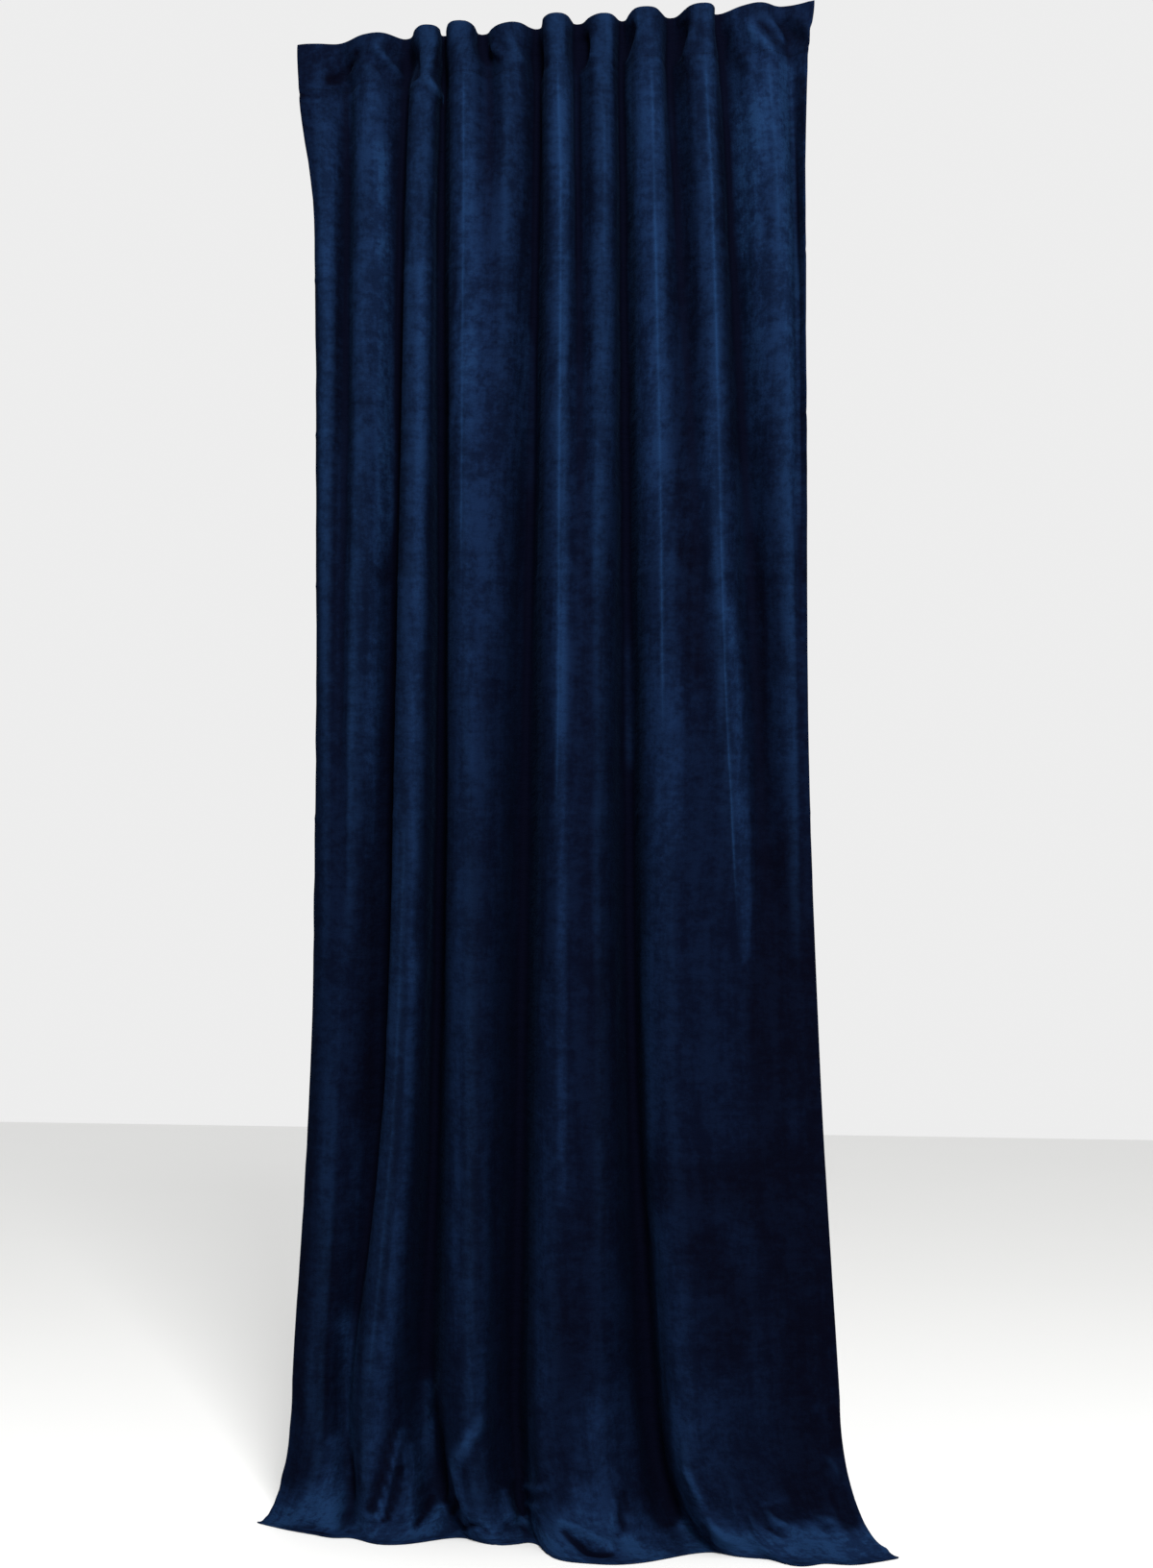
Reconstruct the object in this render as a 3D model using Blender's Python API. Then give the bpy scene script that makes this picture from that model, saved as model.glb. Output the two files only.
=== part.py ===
"""A single velvet curtain panel, gathered at its heading and trailing its hem on the floor.

The origin is the middle of the top edge, which hangs from whatever holds it. X runs across the
window, -Y points into the room and +Y to the wall, Z is up. The panel is one cut of cloth: its
heading, side hems and bottom hem are the same cloth turned to the back, so it is one sheet that is
twice as thick there.
"""

import math
from collections import namedtuple

import bpy
from mathutils import Vector

MM = 0.001

# Driving sizes in metres
CLOTH_WIDTH = 1.40  # finished width of the flat panel
CLOTH_LENGTH = 2.50  # finished length of the flat panel
DROP = 2.44  # from the top edge to the floor
CLOTH = 0.0015  # thickness of the velvet
DOUBLED = 0.003  # thickness where it is turned and stitched
HEADING = 0.080  # depth of the stitched heading
BOTTOM_HEM = 0.080
SIDE_HEM_STEPS = 2  # mesh columns that the side hem takes, about 25 mm

# Lengths of cloth below the top edge at which the folds are given
BAND = 0.07
CHEST = 0.30
WAIST = 1.05
KNEE = 1.67
SHIN = 2.20
LEVELS = (0.0, BAND, CHEST, WAIST, KNEE, SHIN)

# How the cloth turns from hanging to lying on the floor below the shin
HANG_PULL = 0.50  # how long it keeps falling straight
LIE_PULL = 0.55  # how long it lies flat before the hem

# Handle of the curve at a crease, as a share of the way to the next crease. Ridges are rounder and
# valleys tighter, the more sharply the cloth turns.
HANDLE = 0.33
HANDLE_GAIN = 0.20
STEPS = 4  # mesh columns from one crease to the next

# Mesh rows from the heading down: length of cloth at the start and end of each zone, and its rows
Zone = namedtuple("Zone", "start end rows")
SEWN_EDGE = 0.004  # the step down from doubled to single cloth
ZONES = (
    Zone(0.0, HEADING, 4),
    Zone(HEADING + SEWN_EDGE, CHEST, 4),
    Zone(CHEST, SHIN, 13),
    Zone(SHIN, CLOTH_LENGTH - BOTTOM_HEM - SEWN_EDGE, 5),
    Zone(CLOTH_LENGTH - BOTTOM_HEM, CLOTH_LENGTH, 3),
)

# One row for each ridge, valley and side edge, from the left edge of the cloth to the right one.
# Each column is a level, and holds the crease's place across the window and its depth, negative
# towards the room, in millimetres.
Crease = namedtuple("Crease", "name top band chest waist knee shin hem")
CREASES = (
    Crease("left edge", (-449, 6), (-447, 8), (-420, 8), (-418, 8), (-427, 5), (-453, -10), (-515, -5)),
    Crease("ridge 1", (-415, 10), (-408, 4), (-396, -10), (-394, -18), (-400, -24), (-420, -32), (-450, -42)),
    Crease("valley 1", (-384, 18), (-372, 32), (-370, 26), (-366, -14), (-375, -28), (-400, -32), (-400, -62)),
    Crease("ridge 2", (-306, -17), (-318, -20), (-322, -25), (-338, -26), (-352, -16), (-386, -20), (-362, -77)),
    Crease("valley 2", (-268, 20), (-270, 34), (-278, 30), (-288, 34), (-302, 32), (-366, 8), (-335, -72)),
    Crease("ridge 3", (-212, -30), (-222, -28), (-232, -28), (-246, -34), (-265, -38), (-308, -46), (-265, -104)),
    Crease("valley 3", (-203, 21), (-206, 36), (-212, 40), (-216, 50), (-226, 55), (-245, 52), (-160, -32)),
    Crease("ridge 4", (-160, -37), (-156, -36), (-154, -38), (-156, -42), (-152, -48), (-150, -50), (-105, -64)),
    Crease("valley 4", (-140, 26), (-124, 10), (-116, -18), (-124, -38), (-122, -42), (-124, -42), (-82, -66)),
    Crease("ridge 5", (-84, -15), (-80, -16), (-84, -18), (-100, -14), (-104, 0), (-110, 0), (-62, -54)),
    Crease("valley 5", (-48, 25), (-48, 38), (-52, 42), (-72, 50), (-84, 54), (-92, 50), (-45, -40)),
    Crease("ridge 6", (0, -35), (0, -34), (6, -36), (6, -44), (-4, -50), (-12, -54), (28, -140)),
    Crease("valley 6", (20, 18), (18, 26), (24, 10), (42, -34), (46, -46), (40, -50), (78, -152)),
    Crease("ridge 7", (76, -18), (74, -17), (74, -20), (70, -26), (74, -36), (78, -38), (130, -146)),
    Crease("valley 7", (94, 22), (90, 34), (92, 36), (96, 50), (104, 52), (134, 48), (250, -40)),
    Crease("ridge 8", (141, -31), (150, -32), (158, -36), (174, -46), (176, -50), (206, -52), (298, -60)),
    Crease("valley 8", (172, 24), (170, 30), (184, 16), (232, -26), (236, -36), (264, -42), (345, -66)),
    Crease("ridge 9", (239, -25), (238, -24), (248, -22), (270, -28), (298, -18), (316, -28), (395, -98)),
    Crease("valley 9", (246, 25), (254, 32), (268, 30), (308, 30), (342, -4), (360, -15), (432, -74)),
    Crease("ridge 10", (318, -10), (332, -16), (352, -25), (370, 2), (380, 6), (396, -8), (475, -72)),
    Crease("valley 10", (352, 16), (364, 24), (374, 22), (386, 10), (396, 10), (422, -4), (510, -46)),
    Crease("right edge", (406, 2), (396, 2), (390, 0), (394, 14), (413, 15), (446, 0), (540, -15)),
)


def eased(values, length):
    """A smooth value at this length of cloth, from the values at LEVELS, that never overshoots them."""
    gaps = [b - a for a, b in zip(LEVELS, LEVELS[1:])]
    rises = [(b - a) / gap for a, b, gap in zip(values, values[1:], gaps)]
    slopes = [0.0] * len(LEVELS)
    for i in range(1, len(LEVELS) - 1):
        if rises[i - 1] * rises[i] > 0:
            near = 2 * gaps[i] + gaps[i - 1]
            far = gaps[i] + 2 * gaps[i - 1]
            slopes[i] = (near + far) / (near / rises[i - 1] + far / rises[i])
    slopes[-1] = rises[-1]
    i = next(i for i in range(len(gaps)) if length <= LEVELS[i + 1] or i == len(gaps) - 1)
    t = min((length - LEVELS[i]) / gaps[i], 1.0)
    start = (2 * t**3 - 3 * t**2 + 1) * values[i] + (t**3 - 2 * t**2 + t) * gaps[i] * slopes[i]
    end = (3 * t**2 - 2 * t**3) * values[i + 1] + (t**3 - t**2) * gaps[i] * slopes[i + 1]
    return start + end


def hanging_creases(length):
    """Every crease's place in plan at this length, in metres, in the hanging cloth."""
    rows = []
    for crease in CREASES:
        places = [getattr(crease, level) for level in ("top", "band", "chest", "waist", "knee", "shin")]
        x = eased([place[0] for place in places], length)
        y = eased([place[1] for place in places], length)
        rows.append(Vector((x, y)) * MM)
    return rows


def cubic(points, t):
    """A point on the cubic curve with these four control points."""
    a, b, c, d = points
    return a * (1 - t) ** 3 + b * 3 * t * (1 - t) ** 2 + c * 3 * t**2 * (1 - t) + d * t**3


def section(creases):
    """The rounded line through the creases of one level, with STEPS points from each to the next."""
    ways = [b - a for a, b in zip(creases, creases[1:])]
    headings = [ways[0].normalized()]
    headings += [(a.normalized() + b.normalized()).normalized() for a, b in zip(ways, ways[1:])]
    headings.append(ways[-1].normalized())
    turns = [0.0, *(a.angle_signed(b) for a, b in zip(ways, ways[1:])), 0.0]
    handles = [HANDLE - HANDLE_GAIN * turn / math.pi for turn in turns]
    line = []
    for i, way in enumerate(ways):
        leaving = creases[i] + headings[i] * handles[i] * way.length
        arriving = creases[i + 1] - headings[i + 1] * handles[i + 1] * way.length
        curve = (creases[i], leaving, arriving, creases[i + 1])
        line += [cubic(curve, step / STEPS) for step in range(STEPS)]
    return line + [creases[-1]]


def deepened(creases, factor):
    """The creases with their depths multiplied about the plane that the cloth hangs in."""
    return [Vector((crease.x, crease.y * factor)) for crease in creases]


def depth_factor(length):
    """How deep the folds have to be at this length for the section to hold the whole width of cloth."""
    creases = hanging_creases(length)
    low, high = 0.3, 3.0
    for _ in range(30):
        factor = (low + high) / 2
        line = section(deepened(creases, factor))
        if sum((b - a).length for a, b in zip(line, line[1:])) < CLOTH_WIDTH:
            low = factor
        else:
            high = factor
    return factor


def row_points(length):
    """The points of the front face at this length of cloth."""
    if length <= SHIN:
        line = section(deepened(hanging_creases(length), depth_factor(length)))
        return [Vector((point.x, point.y, -length)) for point in line]
    t = (length - SHIN) / (CLOTH_LENGTH - SHIN)
    forward = cubic((0.0, 0.0, 1 - LIE_PULL, 1.0), t)
    height = (DROP - DOUBLED - SHIN) * cubic((1.0, 1 - HANG_PULL, 0.0, 0.0), t)
    shins = deepened(hanging_creases(SHIN), depth_factor(SHIN))
    hems = [Vector(crease.hem) * MM for crease in CREASES]
    line = section([shin.lerp(hem, forward) for shin, hem in zip(shins, hems)])
    return [Vector((point.x, point.y, DOUBLED - DROP + height)) for point in line]


def row_lengths():
    """The length of cloth at each mesh row, from the top edge to the hem."""
    lengths = []
    for zone in ZONES:
        first = 0 if not lengths or zone.start > lengths[-1] else 1
        lengths += [
            zone.start + (zone.end - zone.start) * row / zone.rows for row in range(first, zone.rows + 1)
        ]
    return lengths


def is_doubled(length, column, columns):
    """Whether the cloth is turned back and stitched here."""
    in_side_hem = min(column, columns - 1 - column) <= SIDE_HEM_STEPS
    return length <= HEADING or length >= CLOTH_LENGTH - BOTTOM_HEM or in_side_hem


def velvet():
    """Navy velvet with a low nap."""
    material = bpy.data.materials.new("navy velvet")
    material.use_nodes = True
    shader = material.node_tree.nodes["Principled BSDF"]
    shader.inputs["Base Color"].default_value = (0.006, 0.014, 0.045, 1.0)
    shader.inputs["Roughness"].default_value = 0.9
    shader.inputs["Metallic"].default_value = 0.0
    return material


def curtain_panel():
    """The sheet's front face, thickened to the back."""
    lengths = row_lengths()
    rows = [row_points(length) for length in lengths]
    columns = len(rows[0])
    vertices = [point for row in rows for point in row]
    faces = []
    for i in range(len(rows) - 1):
        for j in range(columns - 1):
            upper = i * columns + j
            lower = upper + columns
            faces.append((upper, lower, lower + 1))
            faces.append((upper, lower + 1, upper + 1))
    mesh = bpy.data.meshes.new("curtain_panel")
    mesh.from_pydata(vertices, [], faces)
    mesh.shade_smooth()
    panel = bpy.data.objects.new("curtain_panel", mesh)
    bpy.context.scene.collection.objects.link(panel)

    doubled = panel.vertex_groups.new(name="doubled cloth")
    inside = [
        i * columns + j
        for i, length in enumerate(lengths)
        for j in range(columns)
        if is_doubled(length, j, columns)
    ]
    doubled.add(inside, 1.0, "REPLACE")
    thicken = panel.modifiers.new("thickness", "SOLIDIFY")
    thicken.thickness = DOUBLED
    thicken.offset = -1.0
    thicken.vertex_group = doubled.name
    thicken.thickness_vertex_group = CLOTH / DOUBLED
    mesh.materials.append(velvet())
    return panel


def main():
    for item in list(bpy.data.objects):
        bpy.data.objects.remove(item)
    curtain_panel()


main()
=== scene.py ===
"""The looks of a navy velvet curtain panel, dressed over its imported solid.

The panel is one sheet of cloth with a closed surface: the nap on its front, the plain woven reverse
behind it, and the nap again wherever the cloth is turned to the back and stitched. Its folds are the
solid's own, worked out again here from the same creases and then given the finer ones. Everything is
in metres in the solid's frame: X across the window, -Y into the room, Z up from the top edge.
"""

import logging
import math
from dataclasses import dataclass, field
from enum import Enum
from typing import Any, NamedTuple

import bpy
import numpy as np
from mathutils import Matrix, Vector, noise


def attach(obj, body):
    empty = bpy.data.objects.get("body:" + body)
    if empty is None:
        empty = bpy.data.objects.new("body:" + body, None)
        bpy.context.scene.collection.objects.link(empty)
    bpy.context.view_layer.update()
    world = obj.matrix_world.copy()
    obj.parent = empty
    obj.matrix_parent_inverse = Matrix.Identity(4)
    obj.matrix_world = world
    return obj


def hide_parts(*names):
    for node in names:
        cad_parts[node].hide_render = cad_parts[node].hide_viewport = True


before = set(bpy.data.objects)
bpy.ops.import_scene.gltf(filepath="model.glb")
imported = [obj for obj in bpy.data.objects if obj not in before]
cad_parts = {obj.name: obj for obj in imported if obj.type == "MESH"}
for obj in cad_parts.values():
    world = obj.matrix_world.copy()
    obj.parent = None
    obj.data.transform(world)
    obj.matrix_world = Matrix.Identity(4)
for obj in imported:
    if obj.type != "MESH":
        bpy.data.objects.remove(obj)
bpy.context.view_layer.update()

MM = 0.001
log = logging.getLogger("curtain")

Array = np.ndarray
Pair = tuple[float, float]
Path = tuple[Pair, ...]
Colour = tuple[float, float, float, float]


class Side(Enum):
    """The two faces of the cloth, by their material index on the mesh."""

    NAP = 0
    REVERSE = 1


class Crease(NamedTuple):
    """A ridge, valley or side edge, as places across the window and depths, in mm, at each level."""

    name: str
    top: Pair
    band: Pair
    chest: Pair
    waist: Pair
    knee: Pair
    shin: Pair
    hem: Pair


CREASES = (
    Crease("left edge", (-449, 6), (-447, 8), (-420, 8), (-418, 8), (-427, 5), (-453, -10), (-515, -5)),
    Crease(
        "ridge 1",
        (-415, 10), (-408, 4), (-396, -10), (-394, -18), (-400, -24), (-420, -32), (-450, -42),
    ),
    Crease(
        "valley 1",
        (-384, 18), (-372, 32), (-370, 26), (-366, -14), (-375, -28), (-400, -32), (-400, -62),
    ),
    Crease(
        "ridge 2",
        (-306, -17), (-318, -20), (-322, -25), (-338, -26), (-352, -16), (-386, -20), (-362, -77),
    ),
    Crease("valley 2", (-268, 20), (-270, 34), (-278, 30), (-288, 34), (-302, 32), (-366, 8), (-335, -72)),
    Crease(
        "ridge 3",
        (-212, -30), (-222, -28), (-232, -28), (-246, -34), (-265, -38), (-308, -46), (-265, -104),
    ),
    Crease("valley 3", (-203, 21), (-206, 36), (-212, 40), (-216, 50), (-226, 55), (-245, 52), (-160, -32)),
    Crease(
        "ridge 4",
        (-160, -37), (-156, -36), (-154, -38), (-156, -42), (-152, -48), (-150, -50), (-105, -64),
    ),
    Crease(
        "valley 4",
        (-140, 26), (-124, 10), (-116, -18), (-124, -38), (-122, -42), (-124, -42), (-82, -66),
    ),
    Crease("ridge 5", (-84, -15), (-80, -16), (-84, -18), (-100, -14), (-104, 0), (-110, 0), (-62, -54)),
    Crease("valley 5", (-48, 25), (-48, 38), (-52, 42), (-72, 50), (-84, 54), (-92, 50), (-45, -40)),
    Crease("ridge 6", (0, -35), (0, -34), (6, -36), (6, -44), (-4, -50), (-12, -54), (28, -140)),
    Crease("valley 6", (20, 18), (18, 26), (24, 10), (42, -34), (46, -46), (40, -50), (78, -152)),
    Crease("ridge 7", (76, -18), (74, -17), (74, -20), (70, -26), (74, -36), (78, -38), (130, -146)),
    Crease("valley 7", (94, 22), (90, 34), (92, 36), (96, 50), (104, 52), (134, 48), (250, -40)),
    Crease("ridge 8", (141, -31), (150, -32), (158, -36), (174, -46), (176, -50), (206, -52), (298, -60)),
    Crease("valley 8", (172, 24), (170, 30), (184, 16), (232, -26), (236, -36), (264, -42), (345, -66)),
    Crease("ridge 9", (239, -25), (238, -24), (248, -22), (270, -28), (298, -18), (316, -28), (395, -98)),
    Crease("valley 9", (246, 25), (254, 32), (268, 30), (308, 30), (342, -4), (360, -15), (432, -74)),
    Crease("ridge 10", (318, -10), (332, -16), (352, -25), (370, 2), (380, 6), (396, -8), (475, -72)),
    Crease("valley 10", (352, 16), (364, 24), (374, 22), (386, 10), (396, 10), (422, -4), (510, -46)),
    Crease("right edge", (406, 2), (396, 2), (390, 0), (394, 14), (413, 15), (446, 0), (540, -15)),
)


class Crinkle(NamedTuple):
    """A soft fine ridge, or with a negative height a trough, along a path on the cloth.

    The path's places are (across the window, length of cloth below the top edge). All sizes are in mm.
    The width is given at both ends of the path, and so is the share of the height that is left there.
    """

    name: str
    path: Path
    widths: Pair
    height: float
    ends: Pair = (0.0, 0.0)


HEADING_CRINKLES = (
    Crinkle("edge of the left tab's pull", ((-338, 22), (-362, 38), (-402, 68)), (6, 5), -4.5, (0.4, 0.1)),
    Crinkle("left tab's pull", ((-350, 50), (-378, 62), (-398, 80)), (7, 6), 3.0, (0.2, 0.1)),
    Crinkle(
        "lower line of the left tab",
        ((-448, 81), (-416, 88), (-398, 84), (-384, 74)), (5, 5), -1.8, (0.8, 0.1),
    ),
    Crinkle("crease on ridge 2", ((-312, 18), (-296, 36), (-274, 62)), (5, 5), 4.0, (0.3, 0.1)),
    Crinkle(
        "hollow beside ridge 2's crease",
        ((-318, 32), (-302, 50), (-286, 72)), (5, 5), -4.0, (0.2, 0.0),
    ),
    Crinkle("pocket in valley 2", ((-250, 22), (-248, 48), (-238, 84)), (22, 10), -7.0, (0.2, 0.0)),
    Crinkle("pucker on ridge 3", ((-222, 74), (-212, 92), (-206, 116)), (5, 5), 3.0),
    Crinkle("hollow left of valley 4", ((-142, 18), (-130, 40), (-116, 66)), (7, 6), -2.2, (0.3, 0.0)),
    Crinkle("crumple in valley 4", ((-118, 18), (-112, 36), (-98, 52)), (5, 5), 3.6, (0.3, 0.0)),
    Crinkle("second crumple in valley 4", ((-104, 14), (-100, 32), (-86, 50)), (5, 5), -3.0, (0.2, 0.0)),
    Crinkle("pull left of ridge 5", ((-84, 26), (-72, 48), (-62, 66)), (5, 5), 3.0),
    Crinkle("pocket in valley 5", ((-48, 20), (-44, 50), (-42, 86)), (14, 8), -5.0, (0.2, 0.0)),
    Crinkle("pocket in valley 6", ((32, 18), (31, 44), (26, 76)), (14, 7), -8.0, (0.2, 0.0)),
    Crinkle("fold right of valley 6", ((48, 24), (54, 48), (50, 76)), (5, 5), 3.0, (0.2, 0.0)),
    Crinkle("pocket in valley 7", ((118, 18), (108, 38), (98, 62)), (12, 6), -6.0, (0.2, 0.0)),
    Crinkle("pocket in valley 8", ((196, 14), (190, 42), (182, 74)), (16, 7), -8.0, (0.2, 0.0)),
    Crinkle("fold right of valley 8", ((216, 22), (212, 46), (198, 80)), (5, 5), 3.4, (0.2, 0.0)),
    Crinkle("pocket in valley 9", ((262, 26), (256, 64)), (10, 5), -4.0),
    Crinkle("crease on ridge 10", ((300, 28), (318, 52), (346, 84)), (6, 5), 4.4, (0.1, 0.2)),
    Crinkle("hollow under ridge 10's crease", ((284, 52), (314, 78), (350, 104)), (7, 6), -3.2),
    Crinkle(
        "first stroke at the right corner",
        ((324, 30), (336, 44), (350, 60)), (5, 5), -4.0, (0.2, 0.0),
    ),
    Crinkle(
        "second stroke at the right corner",
        ((338, 24), (350, 40), (360, 58)), (5, 5), 4.0, (0.2, 0.0),
    ),
    Crinkle(
        "third stroke at the right corner",
        ((350, 24), (360, 42), (370, 62)), (5, 5), -4.0, (0.2, 0.0),
    ),
    Crinkle(
        "fourth stroke at the right corner",
        ((362, 22), (374, 40), (380, 56)), (5, 5), 3.0, (0.2, 0.0),
    ),
    Crinkle("hollow at the right corner", ((352, 22), (374, 44), (396, 68)), (9, 7), -6.0, (0.3, 0.1)),
    Crinkle("pull at the right corner", ((366, 10), (388, 30), (402, 48)), (5, 5), 3.0, (0.2, 0.0)),
)

HEM_CRINKLES = (
    Crinkle("left foot", ((-395, 2290), (-420, 2400), (-450, 2490)), (14, 22), 4.0, (0.0, 1.0)),
    Crinkle(
        "line beside the left foot",
        ((-352, 2300), (-350, 2380), (-352, 2450)), (7, 8), -4.0, (0.0, 0.3),
    ),
    Crinkle("ridge left of ridge 3", ((-306, 2080), (-312, 2230), (-310, 2360)), (8, 8), 4.5),
    Crinkle(
        "trough left of ridge 3",
        ((-274, 2264), (-282, 2320), (-290, 2356), (-300, 2392)), (8, 9), -4.6, (0.0, 0.2),
    ),
    Crinkle(
        "ridge 3, left crest",
        ((-266, 2262), (-272, 2310), (-278, 2354), (-285, 2404)), (8, 9), 4.4, (0.1, 0.3),
    ),
    Crinkle("ridge 3, hollow", ((-261, 2316), (-266, 2356), (-274, 2410)), (7, 8), -4.0, (0.0, 0.2)),
    Crinkle(
        "ridge 3, right crest",
        ((-257, 2288), (-250, 2340), (-242, 2390), (-233, 2454)), (8, 8), 4.6, (0.0, 0.5),
    ),
    Crinkle("left of the tooth", ((-222, 2378), (-232, 2446)), (6, 6), -4.0, (0.2, 0.1)),
    Crinkle("first wrinkle on ridge 3's hem", ((-280, 2436), (-264, 2406)), (5, 5), 2.0),
    Crinkle("second wrinkle on ridge 3's hem", ((-268, 2446), (-252, 2414)), (5, 5), 2.0),
    Crinkle("third wrinkle on ridge 3's hem", ((-254, 2452), (-244, 2424)), (5, 5), 1.6),
    Crinkle("hollow in valley 3", ((-207, 2250), (-203, 2330), (-199, 2384)), (12, 10), -5.0),
    Crinkle("fold out of valley 3", ((-190, 2196), (-216, 2214), (-234, 2266), (-240, 2320)), (7, 8), 3.6),
    Crinkle("tooth in valley 3", ((-205, 2396), (-206, 2430), (-208, 2466)), (9, 15), 5.5, (0.3, 0.5)),
    Crinkle("first wrinkle on the tooth", ((-228, 2442), (-206, 2412)), (5, 5), 1.8),
    Crinkle("second wrinkle on the tooth", ((-216, 2462), (-192, 2430)), (5, 5), 1.8),
    Crinkle("bend of ridge 4", ((-120, 2228), (-132, 2258), (-152, 2284), (-172, 2310)), (9, 9), 5.5),
    Crinkle("end of ridge 4's bend", ((-171, 2310), (-160, 2344), (-150, 2396)), (8, 8), 4.0),
    Crinkle("hollow under ridge 4", ((-161, 2362), (-172, 2384), (-187, 2412)), (8, 8), -4.6, (0.1, 0.3)),
    Crinkle("line under ridge 4", ((-176, 2412), (-166, 2432), (-154, 2460)), (6, 7), -2.4, (0.3, 0.0)),
    Crinkle("arc at ridge 4's hem", ((-158, 2446), (-140, 2420), (-120, 2418), (-104, 2440)), (6, 6), -3.0),
    Crinkle(
        "crest right of ridge 4",
        ((-95, 2350), (-85, 2386), (-79, 2410), (-62, 2427)), (7, 8), 5.0, (0.1, 0.3),
    ),
    Crinkle("hollow beside that crest", ((-84, 2344), (-75, 2380), (-66, 2404)), (7, 7), -4.0),
    Crinkle("upper ripple on ridge 5", ((-72, 2356), (-44, 2343), (-6, 2326)), (6, 6), 3.0),
    Crinkle("hollow between the ripples", ((-66, 2369), (-40, 2357), (-6, 2341)), (6, 6), -1.6),
    Crinkle("lower ripple on ridge 5", ((-68, 2385), (-34, 2371), (0, 2356)), (6, 6), 3.0),
    Crinkle("left side of ridge 6", ((-30, 2180), (-18, 2290), (-28, 2400)), (8, 8), 3.4),
    Crinkle("lip on ridge 6", ((20, 2380), (50, 2395), (78, 2413), (110, 2438)), (8, 10), 7.0, (0.3, 0.2)),
    Crinkle(
        "fold under the lip",
        ((26, 2402), (50, 2425), (74, 2450), (106, 2462)), (8, 10), -7.0, (0.2, 0.1),
    ),
    Crinkle("pleat on ridge 7", ((104, 2180), (112, 2260), (126, 2330), (156, 2392)), (7, 9), 4.6),
    Crinkle("wrinkle on ridge 7", ((110, 2336), (112, 2390), (114, 2442)), (6, 7), -5.5),
    Crinkle("beside that wrinkle", ((101, 2342), (103, 2398)), (6, 6), 3.0),
    Crinkle("hollow under ridge 8", ((236, 2384), (244, 2420), (250, 2462)), (7, 9), -3.0),
    Crinkle("streak on ridge 8", ((208, 2240), (215, 2296), (242, 2352)), (7, 7), 4.0),
    Crinkle("hollow on ridge 8", ((228, 2240), (240, 2310), (262, 2368)), (7, 8), -3.0),
    Crinkle("crest of ridge 8", ((247, 2368), (262, 2394), (284, 2430)), (7, 10), 7.0, (0.1, 0.3)),
    Crinkle("first wrinkle left of ridge 9", ((276, 2300), (290, 2360), (300, 2410)), (7, 8), 3.0),
    Crinkle("second wrinkle left of ridge 9", ((306, 2350), (322, 2384), (326, 2416)), (7, 8), 3.0),
    Crinkle("bent wrinkle on ridge 9", ((330, 2346), (352, 2372), (396, 2401)), (6, 7), 4.6),
    Crinkle("hollow under the bent wrinkle", ((338, 2382), (372, 2408)), (6, 7), -4.2),
    Crinkle("third wrinkle under ridge 9", ((352, 2397), (390, 2424)), (6, 6), 3.2),
    Crinkle("wrinkle right of ridge 9", ((404, 2362), (432, 2374), (450, 2396)), (7, 8), 3.6),
    Crinkle("hollow right of ridge 9", ((410, 2382), (434, 2396), (452, 2420)), (7, 8), -3.0),
    Crinkle("right foot", ((420, 2340), (470, 2400), (520, 2460)), (10, 14), 4.0, (0.0, 0.8)),
    Crinkle("crumple above the right foot", ((418, 2268), (436, 2284), (452, 2310)), (7, 8), 2.6),
)


class Crest(NamedTuple):
    """A painted highlight line along a ridge's crest, from one length of cloth to another, in mm, and how
    light it is.
    """

    ridge: str
    start: float
    end: float
    lightness: float


CRESTS = (
    Crest("ridge 3", 1250, 2300, 0.55),
    Crest("ridge 4", 40, 950, 0.90),
    Crest("ridge 4", 1500, 2250, 0.20),
    Crest("ridge 6", 30, 1350, 0.85),
    Crest("ridge 7", 90, 560, 0.50),
    Crest("ridge 8", 40, 1200, 0.90),
    Crest("ridge 9", 40, 1500, 0.85),
    Crest("ridge 10", 50, 480, 0.80),
)


class Patch(NamedTuple):
    """An oval about a place on the cloth, in mm, painted lighter, or with a negative lightness darker, and
    how light it is.
    """

    name: str
    place: Pair
    reach: Pair
    lightness: float


PATCHES = (
    Patch("left face under the heading", (-340, 130), (60, 110), 0.35),
    Patch("left face at the chest", (-340, 420), (50, 90), 0.35),
    Patch("ridge 4 at the chest", (-145, 490), (32, 120), 0.50),
    Patch("ridge 4 under the heading", (-160, 180), (28, 110), 0.25),
    Patch("ridge 6 at the top", (5, 180), (20, 190), 0.40),
    Patch("ridge 6 at the waist", (10, 1000), (18, 160), 0.35),
    Patch("ridge 8 at the top", (150, 240), (32, 160), 0.50),
    Patch("ridge 8 above the waist", (165, 660), (22, 160), 0.35),
    Patch("right face under the heading", (335, 150), (60, 120), 0.60),
    Patch("right face at the chest", (350, 470), (45, 140), 0.25),
    Patch("ridge 9 above the waist", (270, 900), (22, 150), 0.25),
    Patch("right face at the waist", (310, 1050), (60, 220), -0.20),
    Patch("ridge 6 above the hem", (60, 2290), (55, 150), 0.40),
    Patch("ridge 8 above the hem", (240, 2250), (40, 110), 0.25),
)


class Band(NamedTuple):
    """Painted light, or with a negative lightness painted shade, along a path on the cloth.

    The path's places are (across the window, length of cloth below the top edge). The width is given
    at both ends of the path. All sizes are in mm.
    """

    name: str
    path: Path
    widths: Pair
    lightness: float


# Mostly painted light along the crests, and painted shade in the valleys, the hollows and under the folds.
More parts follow.
